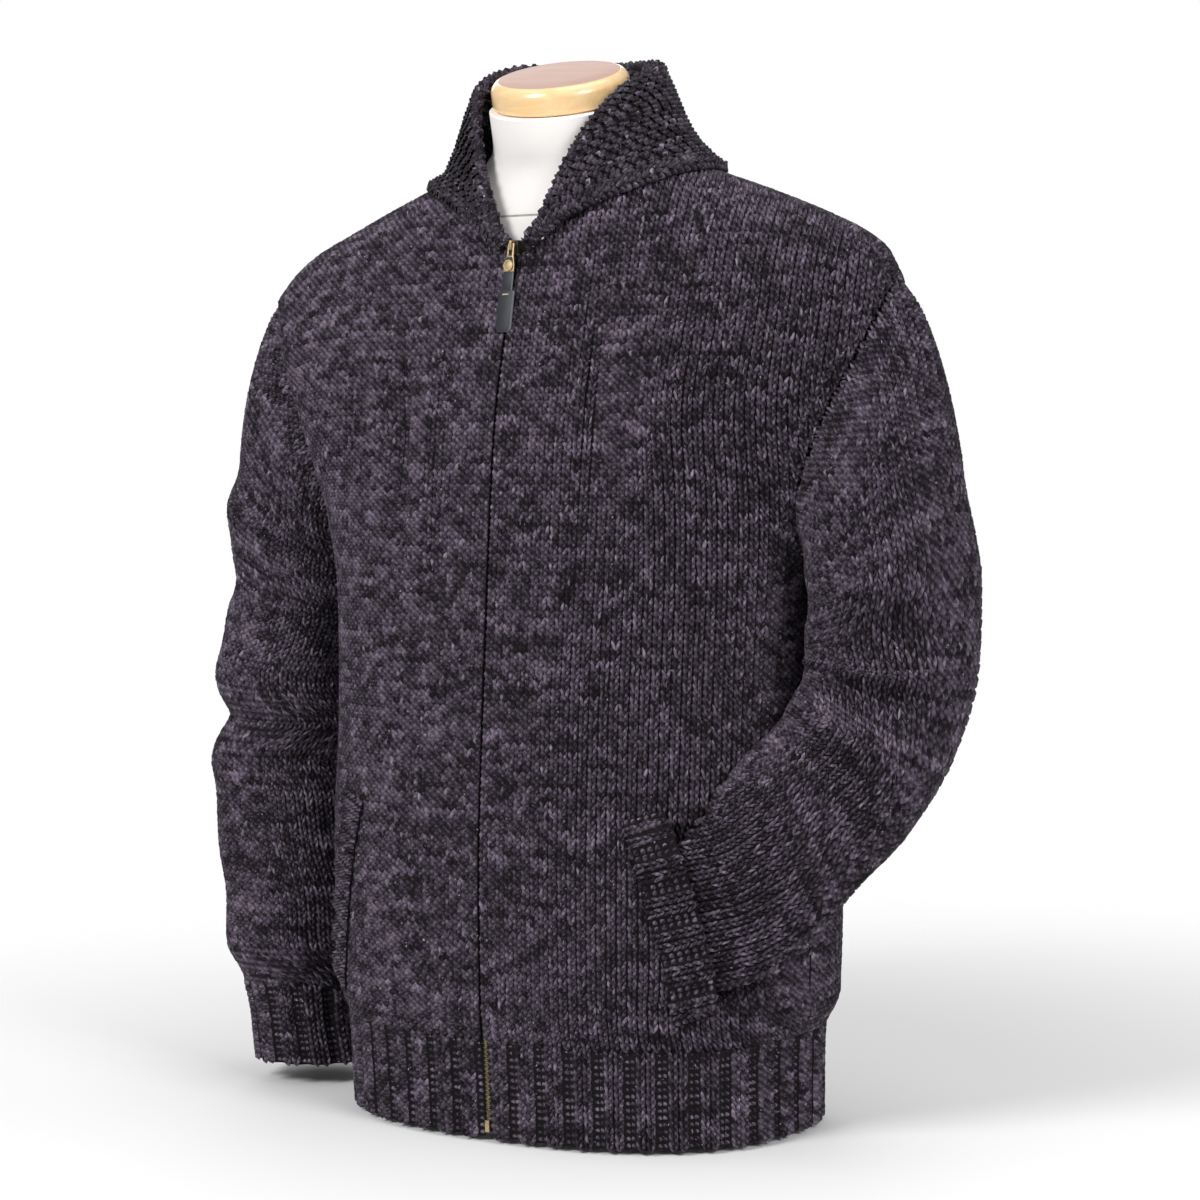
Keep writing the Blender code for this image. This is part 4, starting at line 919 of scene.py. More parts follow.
def panel_half(side, behind):
    """Stitches of one front, or of one half of the back, as arrays."""
    z, turns, arc = quarter_table(side, behind)
    row_of = np.arange(len(z))
    edge = 180.0 - armhole_edge(z, False, side) if behind else armhole_edge(z, True, side)
    edge_u = np.array([np.interp(edge[i], turns, arc[i]) for i in row_of])
    if behind:
        start_u = np.zeros(len(z))
        inner_u = start_u
    else:
        zip_turn = np.degrees(np.arcsin(zip_half_gap(z) / base_radius(0.0, z)))
        start_u = np.array([np.interp(zip_turn[i], turns, arc[i]) for i in row_of])
        inner_u = np.array([np.interp(neck_edge(z[i]), turns, arc[i]) for i in row_of])
    parts = []
    for k, use, base in wale_runs(start_u, arc, z):
        u = start_u + (k + 0.5) * STITCH_WIDE
        turn = np.array([np.interp(u[i], arc[i], turns) for i in use])
        level = z[use]
        if use[-1] < len(z) - 1:
            turn = np.append(turn, 90.0)
            level = np.append(level, np.interp(-u[use[-1]], -arc[use[-1] :, -1], z[use[-1] :]))
        signed = side * ((180.0 - turn) if behind else turn)
        line = torso(signed, level)
        reach = base + run_length(line)
        steps, here, at, rise, more = along_wale(line, reach, (turn, level))
        turn_at, level_at = more[:, 0], more[:, 1]
        last = np.interp(level_at, z, edge_u - start_u)
        first = np.interp(level_at, z, inner_u - start_u)
        left = np.full(len(steps), k * STITCH_WIDE)
        right = left + STITCH_WIDE
        right = np.where(last - right < SMALLEST_SHARE * STITCH_WIDE, last, right)
        keep = (right - left > SMALLEST_SHARE * STITCH_WIDE) & (left > first - 0.9 * STITCH_WIDE)
        if not keep.any():
            continue
        parts.append(
            {
                "turn": turn_at[keep],
                "level": level_at[keep],
                "middle": ((left + right) / 2)[keep],
                "wide": (right - left)[keep],
                "shift": ((left + right) / 2 - (k + 0.5) * STITCH_WIDE)[keep],
                "rise": rise[keep],
                "row": steps[keep],
                "reach": here[keep],
                "number": np.full(keep.sum(), k),
            }
        )
    found = gather(parts)
    found["signed"] = side * ((180.0 - found["turn"]) if behind else found["turn"])
    found["side"] = np.full(len(found["row"]), side)
    return found


def knitted_panel(halves, mask=None, left_pocket=False):
    """The arrays that the stitch tree needs, from one or two halves of a panel."""
    found = gather(halves)
    if mask is not None:
        keep = mask(found)
        found = {key: value[keep] for key, value in found.items()}
    angle, level = found["signed"], found["level"]
    over = None
    if left_pocket:
        over = angle < mouth_angle(1, level) - 0.5
    point, normal = torso(angle, level, over), torso_normal(angle, level, over)
    wale = unit(found["rise"] - (found["rise"] * normal).sum(1, keepdims=True) * normal)
    row_way = np.cross(wale, normal)
    toward = np.where(np.abs(angle) > 90, -found["side"], found["side"])[:, None]
    point = point + row_way * toward * found["shift"][:, None]
    count = len(angle)
    size = np.ones((count, 3))
    size[:, 0] = found["wide"] / STITCH_WIDE
    along = found["middle"] * found["side"]
    return {
        "at": point,
        "normal": normal,
        "wale": wale,
        "size": size,
        "purl": np.zeros(count, bool),
        "yarn": np.stack([along + found["side"] * 3.0, found["row"].astype(float), np.zeros(count)], 1),
        "flat": np.stack([along, found["reach"], np.zeros(count)], 1),
    }


# %% [markdown]
# ## Fronts and back
#
# Each panel is a shell with the same edges as in the frame, in finer steps. The left front is slit
# at its pocket: the cloth on the zip's side lies over the cuff, and the cloth behind goes under.


# %% Shells of the fronts and the back
def panel_levels():
    rib = np.array([RIB_TOP_Z + SEAM_GAP, 0.09])
    pocket = np.linspace(POCKET_FOOT[1], POCKET_TOP[1], 19)
    waist = np.linspace(POCKET_TOP[1], UNDERARM_Z, 16)[1:-1]
    arm = (SHOULDER_Z + UNDERARM_Z) / 2 - (SHOULDER_Z - UNDERARM_Z) / 2 * np.cos(np.linspace(0, math.pi, 23))
    neck = np.array(
        [0.631, 0.637, 0.643, NECK_V_Z, 0.656, 0.663, 0.670]
        + [0.677, 0.684, 0.691, 0.698, 0.705, 0.714, NECK_TOP_Z]
    )
    return np.concatenate([rib, pocket, waist, arm, neck])


def panel_shell(name, angles, levels, over, keep=None):
    face, normal = torso(angles, levels, over), torso_normal(angles, levels, over)
    normal[0] = unit(normal[0] * np.array([1.0, 1.0, 0.0]))
    return wall(name, face - SHELL_FACE * normal, face - SHELL_BACK * normal, keep)


def front_shell(side):
    z = panel_levels()
    outer_edge = armhole_edge(z, True, side) - SEAM_TURN
    zip_turn = np.degrees(np.arcsin(zip_half_gap(z) / base_radius(0.0, z)))
    inner_edge = np.minimum(np.maximum(zip_turn, neck_edge(z)), outer_edge - 4.0)
    free_edge = mouth_angle(1, z)
    radius = base_radius(free_edge, z)
    over_edge = free_edge - np.degrees(MOUTH_OVERLAP / radius)
    under_edge = free_edge - np.degrees(MOUTH_UNDERLAP / radius)
    fade = smoothstep((z - 0.28) / 0.12)
    over_edge = over_edge * (1 - fade) + (inner_edge + (outer_edge - inner_edge) * 0.60) * fade
    under_edge = under_edge * (1 - fade) + (inner_edge + (outer_edge - inner_edge) * 0.64) * fade
    left = inner_edge[:, None] + (over_edge - inner_edge)[:, None] * np.linspace(0, 1, 19)
    right = under_edge[:, None] + (outer_edge - under_edge)[:, None] * np.linspace(0, 1, 13)
    angles = np.concatenate([left, right], 1)
    over = np.concatenate([np.ones(left.shape, bool), np.zeros(right.shape, bool)], 1)
    levels = np.repeat(z[:, None], angles.shape[1], 1)
    keep = np.ones((len(z) - 1, angles.shape[1] - 1), bool)
    mouth = (z[:-1] >= POCKET_FOOT[1] - 1e-6) & (z[1:] <= POCKET_TOP[1] + 1e-6)
    if side > 0:
        keep[mouth, left.shape[1] - 1] = False
    return panel_shell("front_" + SIDES[side] + "_cloth", side * angles, levels, over, keep)


def back_shell():
    z = panel_levels()
    edge = armhole_edge(z, False, 1) + SEAM_TURN
    angles = 180 + np.linspace(-1, 1, 45)[None, :] * (180 - edge)[:, None]
    signed = np.where(angles > 180, angles - 360, angles)
    levels = np.repeat(z[:, None], angles.shape[1], 1)
    return panel_shell("back_cloth", signed, levels, np.zeros(angles.shape, bool))


def cloth_area(made):
    """Area of one face of a closed wall."""
    return sum(f.area for f in made.data.polygons) / 2


FRONT_LEFT = place_piece(front_shell(1), SHADED_SHELL_WOOL, "marl_knit", BODY_NAME, "front_left")
FRONT_RIGHT = place_piece(front_shell(-1), SHADED_SHELL_WOOL, "marl_knit", BODY_NAME, "front_right")
BACK = place_piece(back_shell(), SHADED_SHELL_WOOL, "marl_knit", BODY_NAME, "back")
print("areas", [round(cloth_area(o), 3) for o in (FRONT_LEFT, FRONT_RIGHT, BACK)])


# %% Stitches of the fronts and the back
def clear_of_welt(found):
    """Stitches that the welt covers, or that lie in the slit, are left out."""
    angle, z = np.abs(found["signed"]), found["level"]
    free = mouth_angle(1, z)
    behind = np.radians(free - angle) * base_radius(free, z)
    across = np.clip(1 - behind / WELT_WIDTH, 0, 1)
    low = WELT_FOOT[0] + (WELT_FOOT[1] - WELT_FOOT[0]) * across
    top = WELT_TOP[0] + (WELT_TOP[1] - WELT_TOP[0]) * across
    covered = (behind > 0.002) & (behind < WELT_WIDTH - 0.003) & (z > low + 0.003) & (z < top - 0.003)
    return ~covered


STITCHES_FRONT_LEFT = knit("stitches_front_left", knitted_panel([panel_half(1, False)], clear_of_welt, True))
STITCHES_FRONT_RIGHT = knit("stitches_front_right", knitted_panel([panel_half(-1, False)], clear_of_welt))
STITCHES_BACK = [
    knit("stitches_back_left", knitted_panel([panel_half(1, True)])),
    knit("stitches_back_right", knitted_panel([panel_half(-1, True)])),
]

# %% [markdown]
# ## Sleeves
#
# Each sleeve is a row of rounded sections along the arm, joined to the armhole by a smooth cap. The
# right one hangs empty. The left one bends at the elbow and its cuff goes flat into the pocket. Rows
# of stitches run round the arm, and wales run down it and end at the seam under the arm.

# %% Sleeve sizes
# A row for each section, from the cap to the cuff, as if both were on the left
# Columns: x, y, z, wide, deep, out_x, out_y, out_z
ARM_ROWS = {
    -1: (
        (0.2580, 0.003, 0.455, 0.056, 0.068, 1.0, 0.0, 0.80),
        (0.2640, 0.003, 0.395, 0.060, 0.073, 1.0, 0.0, 0.40),
        (0.2700, 0.002, 0.330, 0.062, 0.074, 1.0, 0.0, 0.10),
        (0.2770, 0.000, 0.250, 0.065, 0.072, 1.0, 0.0, 0.00),
        (0.2790, -0.002, 0.170, 0.063, 0.067, 1.0, 0.0, 0.00),
        (0.2780, -0.004, 0.105, 0.056, 0.059, 1.0, 0.0, 0.00),
        (0.2760, -0.005, 0.078, 0.047, 0.050, 1.0, 0.0, 0.00),
        (0.2730, -0.006, 0.048, 0.044, 0.046, 1.0, 0.0, 0.00),
        (0.2670, -0.007, 0.016, 0.045, 0.047, 1.0, 0.0, 0.00),
    ),
    1: (
        (0.2680, 0.006, 0.455, 0.057, 0.060, 1.0, 0.0, 0.80),
        (0.2740, 0.008, 0.398, 0.059, 0.062, 1.0, 0.0, 0.40),
        (0.2720, 0.008, 0.352, 0.059, 0.060, 0.95, 0.05, -0.05),
        (0.2640, -0.002, 0.312, 0.060, 0.052, 0.85, 0.1, -0.45),
    ),
}
CUFF_LENGTH = 0.064

# The left forearm lies along the front and goes into the pocket: its sections by angle round the
# torso, height and how far the middle stands off the plain torso
# Columns: angle, z, stand_off, wide, deep, out_x, out_y, out_z
FOREARM_ROWS = (
    (85.0, 0.270, 0.0450, 0.060, 0.0430, 0.60, 0.20, -0.75),
    (78.5, 0.238, 0.0290, 0.060, 0.0300, 0.40, 0.20, -0.90),
    (72.5, 0.209, 0.0160, 0.061, 0.0185, 0.30, 0.15, -0.95),
    (66.5, 0.186, 0.0045, 0.058, 0.0100, 0.20, 0.15, -0.97),
    (60.5, 0.174, -0.0015, 0.054, 0.0070, 0.15, 0.12, -0.98),
    (55.0, 0.167, -0.0048, 0.050, 0.0066, 0.12, 0.10, -0.99),
    (42.0, 0.152, -0.0125, 0.050, 0.0070, 0.10, 0.05, -0.99),
)


# %% Sleeve surface

# Folds of the sleeves: distance down the sleeve, turn from the outer line toward the front,
# half length round it, half width along it, depth out, and how far it climbs for each degree
# Columns: run, turn, reach, width, depth, climb
SLEEVE_FOLDS = {
    -1: (
        (0.135, 60.0, 55.0, 0.016, 0.0075, 0.0004),
        (0.175, 75.0, 50.0, 0.016, -0.0095, 0.0004),
        (0.245, 70.0, 60.0, 0.018, 0.0060, 0.0002),
        (0.285, 60.0, 55.0, 0.013, -0.0100, -0.0001),
        (0.315, 80.0, 50.0, 0.016, 0.0060, 0.0001),
        (0.420, 60.0, 80.0, 0.022, -0.0030, 0.0002),
        (0.470, 40.0, 90.0, 0.020, 0.0030, 0.0000),
    ),
    1: (
        (0.160, 70.0, 50.0, 0.020, 0.0045, -0.0003),
        (0.205, 50.0, 50.0, 0.018, -0.0065, -0.0003),
        (0.255, 85.0, 50.0, 0.012, -0.0140, -0.0002),
        (0.290, 90.0, 50.0, 0.014, 0.0085, -0.0002),
        (0.330, 80.0, 50.0, 0.016, -0.0040, 0.0001),
        (0.375, 95.0, 60.0, 0.018, 0.0035, 0.0002),
    ),
}


def arm_sections(side):
    """Centres, sizes and frames at even steps down a sleeve, with the cuff's length set apart."""
    rows = np.array(ARM_ROWS[side])
    if side > 0:
        lower = np.array(FOREARM_ROWS)
        middle = torso(lower[:, 0], lower[:, 1])
        middle = middle + torso_normal(lower[:, 0], lower[:, 1]) * lower[:, 2:3]
        rows = np.concatenate([rows, np.concatenate([middle, lower[:, 3:]], 1)])
    knots = run_length(rows[:, :3])

    def at(run):
        fine = np.stack([smooth_interp(run, knots, rows[:, i]) for i in range(rows.shape[1])], 1)
        step = 0.002
        here = np.stack([smooth_interp(run + step, knots, rows[:, i]) for i in range(3)], 1)
        gone = np.stack([smooth_interp(run - step, knots, rows[:, i]) for i in range(3)], 1)
        along = unit(here - gone)
        out = fine[:, 5:8]
        lean = (out * along).sum(1, keepdims=True)
        across = unit(out - lean * along)
        front = unit(np.cross(along, across))
        return fine[:, :3], along, across, front, fine[:, 3], fine[:, 4], lean[:, 0]

    return at, knots[-1]


def section_points(at, run, turn, inset, power=2.25):
    """Rings of a sleeve at distances run and turns round it, inset from the outer face."""
    centre, along, out, front, wide, deep, lean = at(run)
    c, s = np.cos(turn), np.sin(turn)
    scale = (np.abs(c) ** power + np.abs(s) ** power) ** (-1.0 / power)
    a = (wide - inset)[:, None] * c * scale
    b = (deep - inset)[:, None] * s * scale
    ring = centre[:, None] + out[:, None] * a[..., None] + front[:, None] * b[..., None]
    return ring + along[:, None] * (lean[:, None] * a)[..., None]


def armhole_loop(side, turn, inset):
    """The armhole seam as seen from the sleeve: its points and the way the cap leaves them."""
    middle, half = (SHOULDER_Z + UNDERARM_Z) / 2, (SHOULDER_Z - UNDERARM_Z) / 2
    z = middle + (half - SEAM_GAP) * np.cos(turn)
    reach = np.abs(np.sin(turn)) * (1 - ARMHOLE_SAG * np.cos(turn))
    ahead = np.sin(turn) >= 0
    angle = np.where(ahead, 90 - ARMHOLE_FRONT[side] * reach, 90 + ARMHOLE_BACK * reach)
    point = torso(side * angle, z)
    normal = torso_normal(side * angle, z)
    centre = torso(np.array(side * 90.0), np.array(middle))
    inward = centre - point
    inward = unit(inward - (inward * normal).sum(-1, keepdims=True) * normal)
    low = ((1 - np.cos(turn)) / 2)[:, None]
    leave = unit(inward * (1.0 - 0.75 * low) + normal * (0.80 + 0.40 * low))
    seam = unit(np.roll(point, -1, 0) - np.roll(point, 1, 0))
    inside = unit(np.cross(leave, seam))
    inside = np.where((inside * (centre - 0.03 * normal - point)).sum(-1, keepdims=True) > 0, inside, -inside)
    flip = np.array([side, 1.0, 1.0])
    return (point + inset * inside) * flip, leave * flip


def sleeve_folds(side, run, turn):
    total = np.zeros((len(run), len(turn)))
    degrees = np.degrees(turn)
    for at_run, at_turn, reach, width, depth, climb in SLEEVE_FOLDS[side]:
        around = (degrees - at_turn + 180.0) % 360.0 - 180.0
        along = run[:, None] - at_run + climb * around[None, :]
        total += depth * np.exp(-((around[None, :] / reach) ** 2) - (along / width) ** 2)
    return total


def clear_of_torso(points, side, gap):
    """Move points of a part that lies on the torso out to a gap from its face."""
    flip = np.array([side, 1.0, 1.0])
    moved = points * flip
    for _ in range(3):
        angle = np.degrees(np.arctan2(moved[..., 0], -moved[..., 1]))
        z = np.clip(moved[..., 2], HEM_Z, NECK_TOP_Z)
        state = np.zeros(angle.shape, bool)
        face = torso(angle, z, state)
        normal = torso_normal(angle, z, state)
        apart = ((moved - face) * normal).sum(-1)
        moved = moved + normal * np.maximum(gap - apart, 0.0)[..., None]
    return moved * flip


def sleeve_grid(side, turn, inset, rows_below, cap_rows):
    """Rows of rings from the armhole to the cuff seam."""
    at, total = arm_sections(side)
    run = np.linspace(0.0, total - CUFF_LENGTH - SEAM_GAP, rows_below)
    rings = section_points(at, run, turn, inset)
    start, leave = armhole_loop(side, turn, inset)
    end = rings[0]
    _, along, *_ = at(np.array([0.0]))
    reach = np.linalg.norm(end - start, axis=1)[:, None]
    t = np.linspace(0, 1, cap_rows + 1)[:-1, None, None]
    push_start = leave * reach * 1.1
    push_end = along * reach * 0.9
    cap = (
        (2 * t**3 - 3 * t**2 + 1) * start
        + (t**3 - 2 * t**2 + t) * push_start
        + (3 * t**2 - 2 * t**3) * end
        + (t**3 - t**2) * push_end
    )
    grid = np.concatenate([cap, rings])
    distance = np.concatenate([np.linspace(0, 0.12, cap_rows + 1)[:-1], 0.12 + run])
    return grid, distance


def sleeve_under_front(points, side):
    """Which points of the left sleeve have gone in through the pocket mouth."""
    angle = np.degrees(np.arctan2(points[..., 0], -points[..., 1]))
    z = points[..., 2]
    near = (z > POCKET_FOOT[1]) & (z < POCKET_TOP[1])
    return (side > 0) & near & (angle < mouth_angle(1, z) - 0.5)


def sleeve_faces(side, turn, rows_below, cap_rows, insets):
    """Grids of a sleeve at several depths, with its folds, and the distance down it of each row."""
    outer, distance = sleeve_grid(side, turn, 0.0, rows_below, cap_rows)
    way = unit(outer - outer.mean(1, keepdims=True))
    ends = smoothstep(distance / 0.02) * smoothstep((distance[-1] - distance) / 0.03)
    shift = way * (sleeve_folds(side, distance, turn) * ends[:, None])[..., None]
    moved = outer + shift
    pushed = clear_of_torso(moved[1:], side, 2 * CLEARANCE)
    inside_pocket = sleeve_under_front(pushed, side)
    pushed = np.where(inside_pocket[..., None], moved[1:], pushed)
    shift = np.concatenate([shift[:1], pushed - outer[1:]])
    flip = np.array([side, 1.0, 1.0])
    grids = [(sleeve_grid(side, turn, inset, rows_below, cap_rows)[0] + shift) * flip for inset in insets]
    return grids, distance


def sleeve_shell(side):
    name = "sleeve_left_cloth" if side > 0 else "sleeve_right_cloth"
    turn = np.linspace(0, 2 * math.pi, 49)[:-1]
    (outer, inner), _ = sleeve_faces(side, turn, 60, 15, (SHELL_FACE, SHELL_BACK))
    node = "sleeve_left" if side > 0 else "sleeve_right"
    return place_piece(wall(name, outer, inner, closed=True), SHADED_SHELL_WOOL, "marl_knit", BODY_NAME, node)


SLEEVE_LEFT, SLEEVE_RIGHT = sleeve_shell(1), sleeve_shell(-1)
print("sleeve areas", [round(cloth_area(o), 3) for o in (SLEEVE_LEFT, SLEEVE_RIGHT)])


# %% Stitches of the sleeves
def grid_normals(grid, outwards_from):
    """Normals of a closed grid of rings, pointing away from the middle of each ring."""
    around = np.roll(grid, -1, 1) - np.roll(grid, 1, 1)
    down = np.gradient(grid, axis=0)
    normal = unit(np.cross(around, down))
    out = (normal * (grid - outwards_from)).sum(-1).mean()
    return normal if out > 0 else -normal


def sleeve_stitches(side):
    turns, cap_rows, rows_below = 240, 60, 260
    turn = np.linspace(-math.pi, math.pi, turns + 1)[:-1]
    (grid,), distance = sleeve_faces(side, turn, rows_below, cap_rows, (0.0,))
    centre = grid.mean(1, keepdims=True)
    normal = grid_normals(grid, centre)
    steps = np.linalg.norm(np.diff(np.concatenate([grid, grid[:, :1]], 1), axis=1), axis=2)
    arc = np.concatenate([np.zeros((len(grid), 1)), np.cumsum(steps, 1)], 1)
    middle = arc[:, turns // 2]
    arc = arc - middle[:, None]
    ends = np.append(turn, math.pi)
    closed = np.concatenate([grid, grid[:, :1]], 1)
    closed_normal = np.concatenate([normal, normal[:, :1]], 1)
    below = distance - distance[cap_rows]
    ring_gap = np.linalg.norm(np.diff(closed, axis=0, append=closed[-1:]), axis=2).mean(1)
    ring_gap[cap_rows:] = 0.0
    level = np.where(below < 0, -np.cumsum(ring_gap[::-1])[::-1], below)
    parts, runs = [], []
    most = int(arc.max() / STITCH_WIDE) + 1
    for k in range(-most - 1, most + 1):
        u = (k + 0.5) * STITCH_WIDE
        inside = (u > arc[:, 0]) & (u < arc[:, -1])
        runs += [(k, u, np.arange(start, stop)) for start, stop in stretches(inside) if stop - start > 4]
    for k, u, use in runs:
        line = np.array([[np.interp(u, arc[a], closed[a, :, i]) for i in range(3)] for a in use])
        out = np.array([[np.interp(u, arc[a], closed_normal[a, :, i]) for i in range(3)] for a in use])
        step = np.linalg.norm(np.diff(line, axis=0), axis=1)
        if use[0] <= cap_rows <= use[-1]:
            at_ring = cap_rows - use[0]
            climb = np.cumsum(step[:at_ring][::-1])[::-1]
            reach = np.concatenate([-climb, below[use[at_ring:]]])
        else:
            reach = level[use]
        low, high = arc[use, 0], arc[use, -1]
        walk = np.concatenate([[0.0], np.cumsum(step)])
        extra = (out[:, 0], out[:, 1], out[:, 2], low, high, walk)
        first = math.ceil(reach[0] / STITCH_HIGH - 0.5)
        number = np.arange(first, math.floor(reach[-1] / STITCH_HIGH - 0.5) + 1)
        here = (number + 0.5) * STITCH_HIGH
        at = along_line(here, reach, line)
        ahead, behind = here + STEP_SHARE * STITCH_HIGH, here - STEP_SHARE * STITCH_HIGH
        rise = along_line(ahead, reach, line) - along_line(behind, reach, line)
        more = np.stack([np.interp(here, reach, column) for column in extra], 1)
        climbed = np.interp(ahead, reach, walk) - np.interp(behind, reach, walk)
        tall = climbed / (2 * STEP_SHARE * STITCH_HIGH)
        left = np.full(len(here), k * STITCH_WIDE)
        right = left + STITCH_WIDE
        left = np.where(left - more[:, 3] < SMALLEST_SHARE * STITCH_WIDE, more[:, 3], left)
        right = np.where(more[:, 4] - right < SMALLEST_SHARE * STITCH_WIDE, more[:, 4], right)
        keep = right - left > SMALLEST_SHARE * STITCH_WIDE
        parts.append(
            {
                "at": at[keep],
                "normal": unit(more[:, :3])[keep],
                "rise": rise[keep],
                "middle": ((left + right) / 2)[keep],
                "wide": (right - left)[keep],
                "shift": ((left + right) / 2 - u)[keep],
                "tall": tall[keep],
                "row": number[keep],
                "reach": here[keep],
            }
        )
    found = gather(parts)
    mirror = found["at"] * np.array([side, 1.0, 1.0])
    hidden = sleeve_under_front(mirror, side) & (side > 0)
    angle = np.degrees(np.arctan2(mirror[:, 0], -mirror[:, 1]))
    deep = hidden & (angle < mouth_angle(1, mirror[:, 2]) - 5.0)
    found = {key: value[~deep] for key, value in found.items()}
    normal = found["normal"]
    wale = -unit(found["rise"] - (found["rise"] * normal).sum(1, keepdims=True) * normal)
    row_way = np.cross(normal, wale) * (-side)
    count = len(normal)
    size = np.ones((count, 3))
    size[:, 0] = found["wide"] / STITCH_WIDE
    size[:, 1] = np.clip(found["tall"], 0.55, 1.5)
    return {
        "at": found["at"] + row_way * found["shift"][:, None],
        "normal": normal,
        "wale": wale,
        "size": size,
        "purl": np.zeros(count, bool),
        "yarn": np.stack([found["middle"] + 7.0 * side, found["row"] + 300.0, np.zeros(count)], 1),
        "flat": np.stack([found["middle"], found["reach"], np.zeros(count)], 1),
    }


# Length of a seam's bumps, and how far the armhole seam sinks under the face of the cloth
SEAM_STITCH, SEAM_SINK = 0.0052, 0.0024


def seam_bumps(point, normal, across, number):
    """A line of bumps of yarn along a seam, from its points, normals and the way across it."""
    run = run_length(point)
    count = int(run[-1] / SEAM_STITCH)
    here = (np.arange(count) + 0.5) * run[-1] / count
    at, out, way = (along_line(here, run, grid) for grid in (point, normal, across))
    way = flat_on(way, out)
    size = np.tile([run[-1] / count / STITCH_WIDE * 1.15, 1.1, 1.0], (count, 1))
    marks = pair(here, float(number))
    flat = pair(here, -0.02 - 0.001 * (number % 10))
    rows = {"at": at, "normal": unit(out), "wale": way, "size": size, "yarn": marks, "flat": flat}
    return {**rows, "purl": np.ones(count, bool)}


def armhole_seam(side):
    """The sewn seam fills the groove between a sleeve's cap and the front and back."""
    turn = np.linspace(0, 2 * math.pi, 400)
    point, leave = armhole_loop(side, turn[:-1], 0.0)
    point, leave = (np.concatenate([grid, grid[:1]]) for grid in (point, leave))
    flip = np.array([side, 1.0, 1.0])
    angle = np.degrees(np.arctan2(point[:, 0] * side, -point[:, 1]))
    face = torso_normal(side * angle, point[:, 2]) * flip
    normal = unit(0.7 * face + 0.5 * leave)
    return seam_bumps(point - normal * SEAM_SINK, normal, leave, 640 + side)


for side, name in ((1, "left"), (-1, "right")):
    cloth, seam = sleeve_stitches(side), armhole_seam(side)
    joined = {key: np.concatenate([cloth[key], seam[key]]) for key in cloth}
    made = knit("stitches_sleeve_" + name, joined)
    if side > 0:
        STITCHES_SLEEVE_LEFT = made
    else:
        STITCHES_SLEEVE_RIGHT = made

# %% [markdown]
# ## Ribs: hem, cuffs and pocket welts
#
# Two knit wales and two purl wales in turn pull together like a spring, so the knit pairs stand up
# and the purl pairs sink into the grooves. One helper gives each wale's place along the edge, its
# share of the width and its lift. The hem, the cuffs and the welts differ only in where they lie.

# %% Rib helper
RIB_PITCH = 0.024
RIB_RELIEF = 0.0022
# The wales of one rib: place in the pitch, width, lift and purl or not
# Columns: place, wide, lift, purl
RIB_WALES = (
    (0.095, 0.0046, -0.0036, 1),
    (0.345, 0.0074, 0.0010, 0),
    (0.655, 0.0074, 0.0010, 0),
    (0.905, 0.0046, -0.0036, 1),
)


def rib_wave(along, length):
    """Height of the cloth's face across the ribs, from the groove to the top of a pair."""
    count = max(1, round(length / RIB_PITCH))
    phase = (along / length * count) % 1.0
    return RIB_RELIEF * (1.5 * smoothstep(2.1 - 4.6 * np.abs(phase - 0.5)) - 1.15)


def rib_wales(length):
    """Every wale along an edge: distance, width, lift and whether it is purl."""
    count = max(1, round(length / RIB_PITCH))
    step = length / count
    rows = [
        ((i + place) * step, wide, lift, purl)
        for i in range(count)
        for place, wide, lift, purl in RIB_WALES
    ]
    return np.array(rows)


def rib_cloth(length, depth, surface, row_start, bold=1.0, purl_share=1.0):
    """Stitch arrays for a rib. surface(along, down) gives its points, normals and way up."""
    wales = rib_wales(length)
    rows = max(1, round(depth / STITCH_HIGH))
    step = depth / rows
    along = np.repeat(wales[:, 0], rows)
    down = np.tile((np.arange(rows) + 0.5) * step, len(wales))
    point, normal, up = surface(along, down)
    lift = np.repeat(wales[:, 2], rows) * bold
    purl = np.repeat(wales[:, 3], rows) > 0
    count = len(along)
    size = np.ones((count, 3))
    size[:, 0] = np.repeat(wales[:, 1], rows) / STITCH_WIDE
    size[:, 1] = step / STITCH_HIGH
    size[:, 2] = 1.1
    size[purl] *= np.array([1.0, purl_share, purl_share])
    up = unit(up - (up * normal).sum(1, keepdims=True) * normal)
    return {
        "at": point + normal * lift[:, None],
        "normal": normal,
        "wale": up,
        "size": size,
        "purl": purl,
        "yarn": np.stack([along + 11.0, down / step + row_start, np.zeros(count)], 1),
        "flat": np.stack([along, down, np.zeros(count)], 1),
    }


# %% Hem
def hem_line(start, stop):
    """Length of the hem between two angles, and the angle at each distance along it."""
    fine = np.linspace(start, stop, 400)
    line = torso((fine + 180) % 360 - 180, np.full(400, 0.04))
    run = run_length(line)
    return run[-1], lambda along: (np.interp(along, run, fine) + 180) % 360 - 180


def level_normal(angle, z):
    return unit(torso_normal(angle, z) * np.array([1.0, 1.0, 0.0]))


HEM_DEPTH = RIB_TOP_Z - HEM_Z


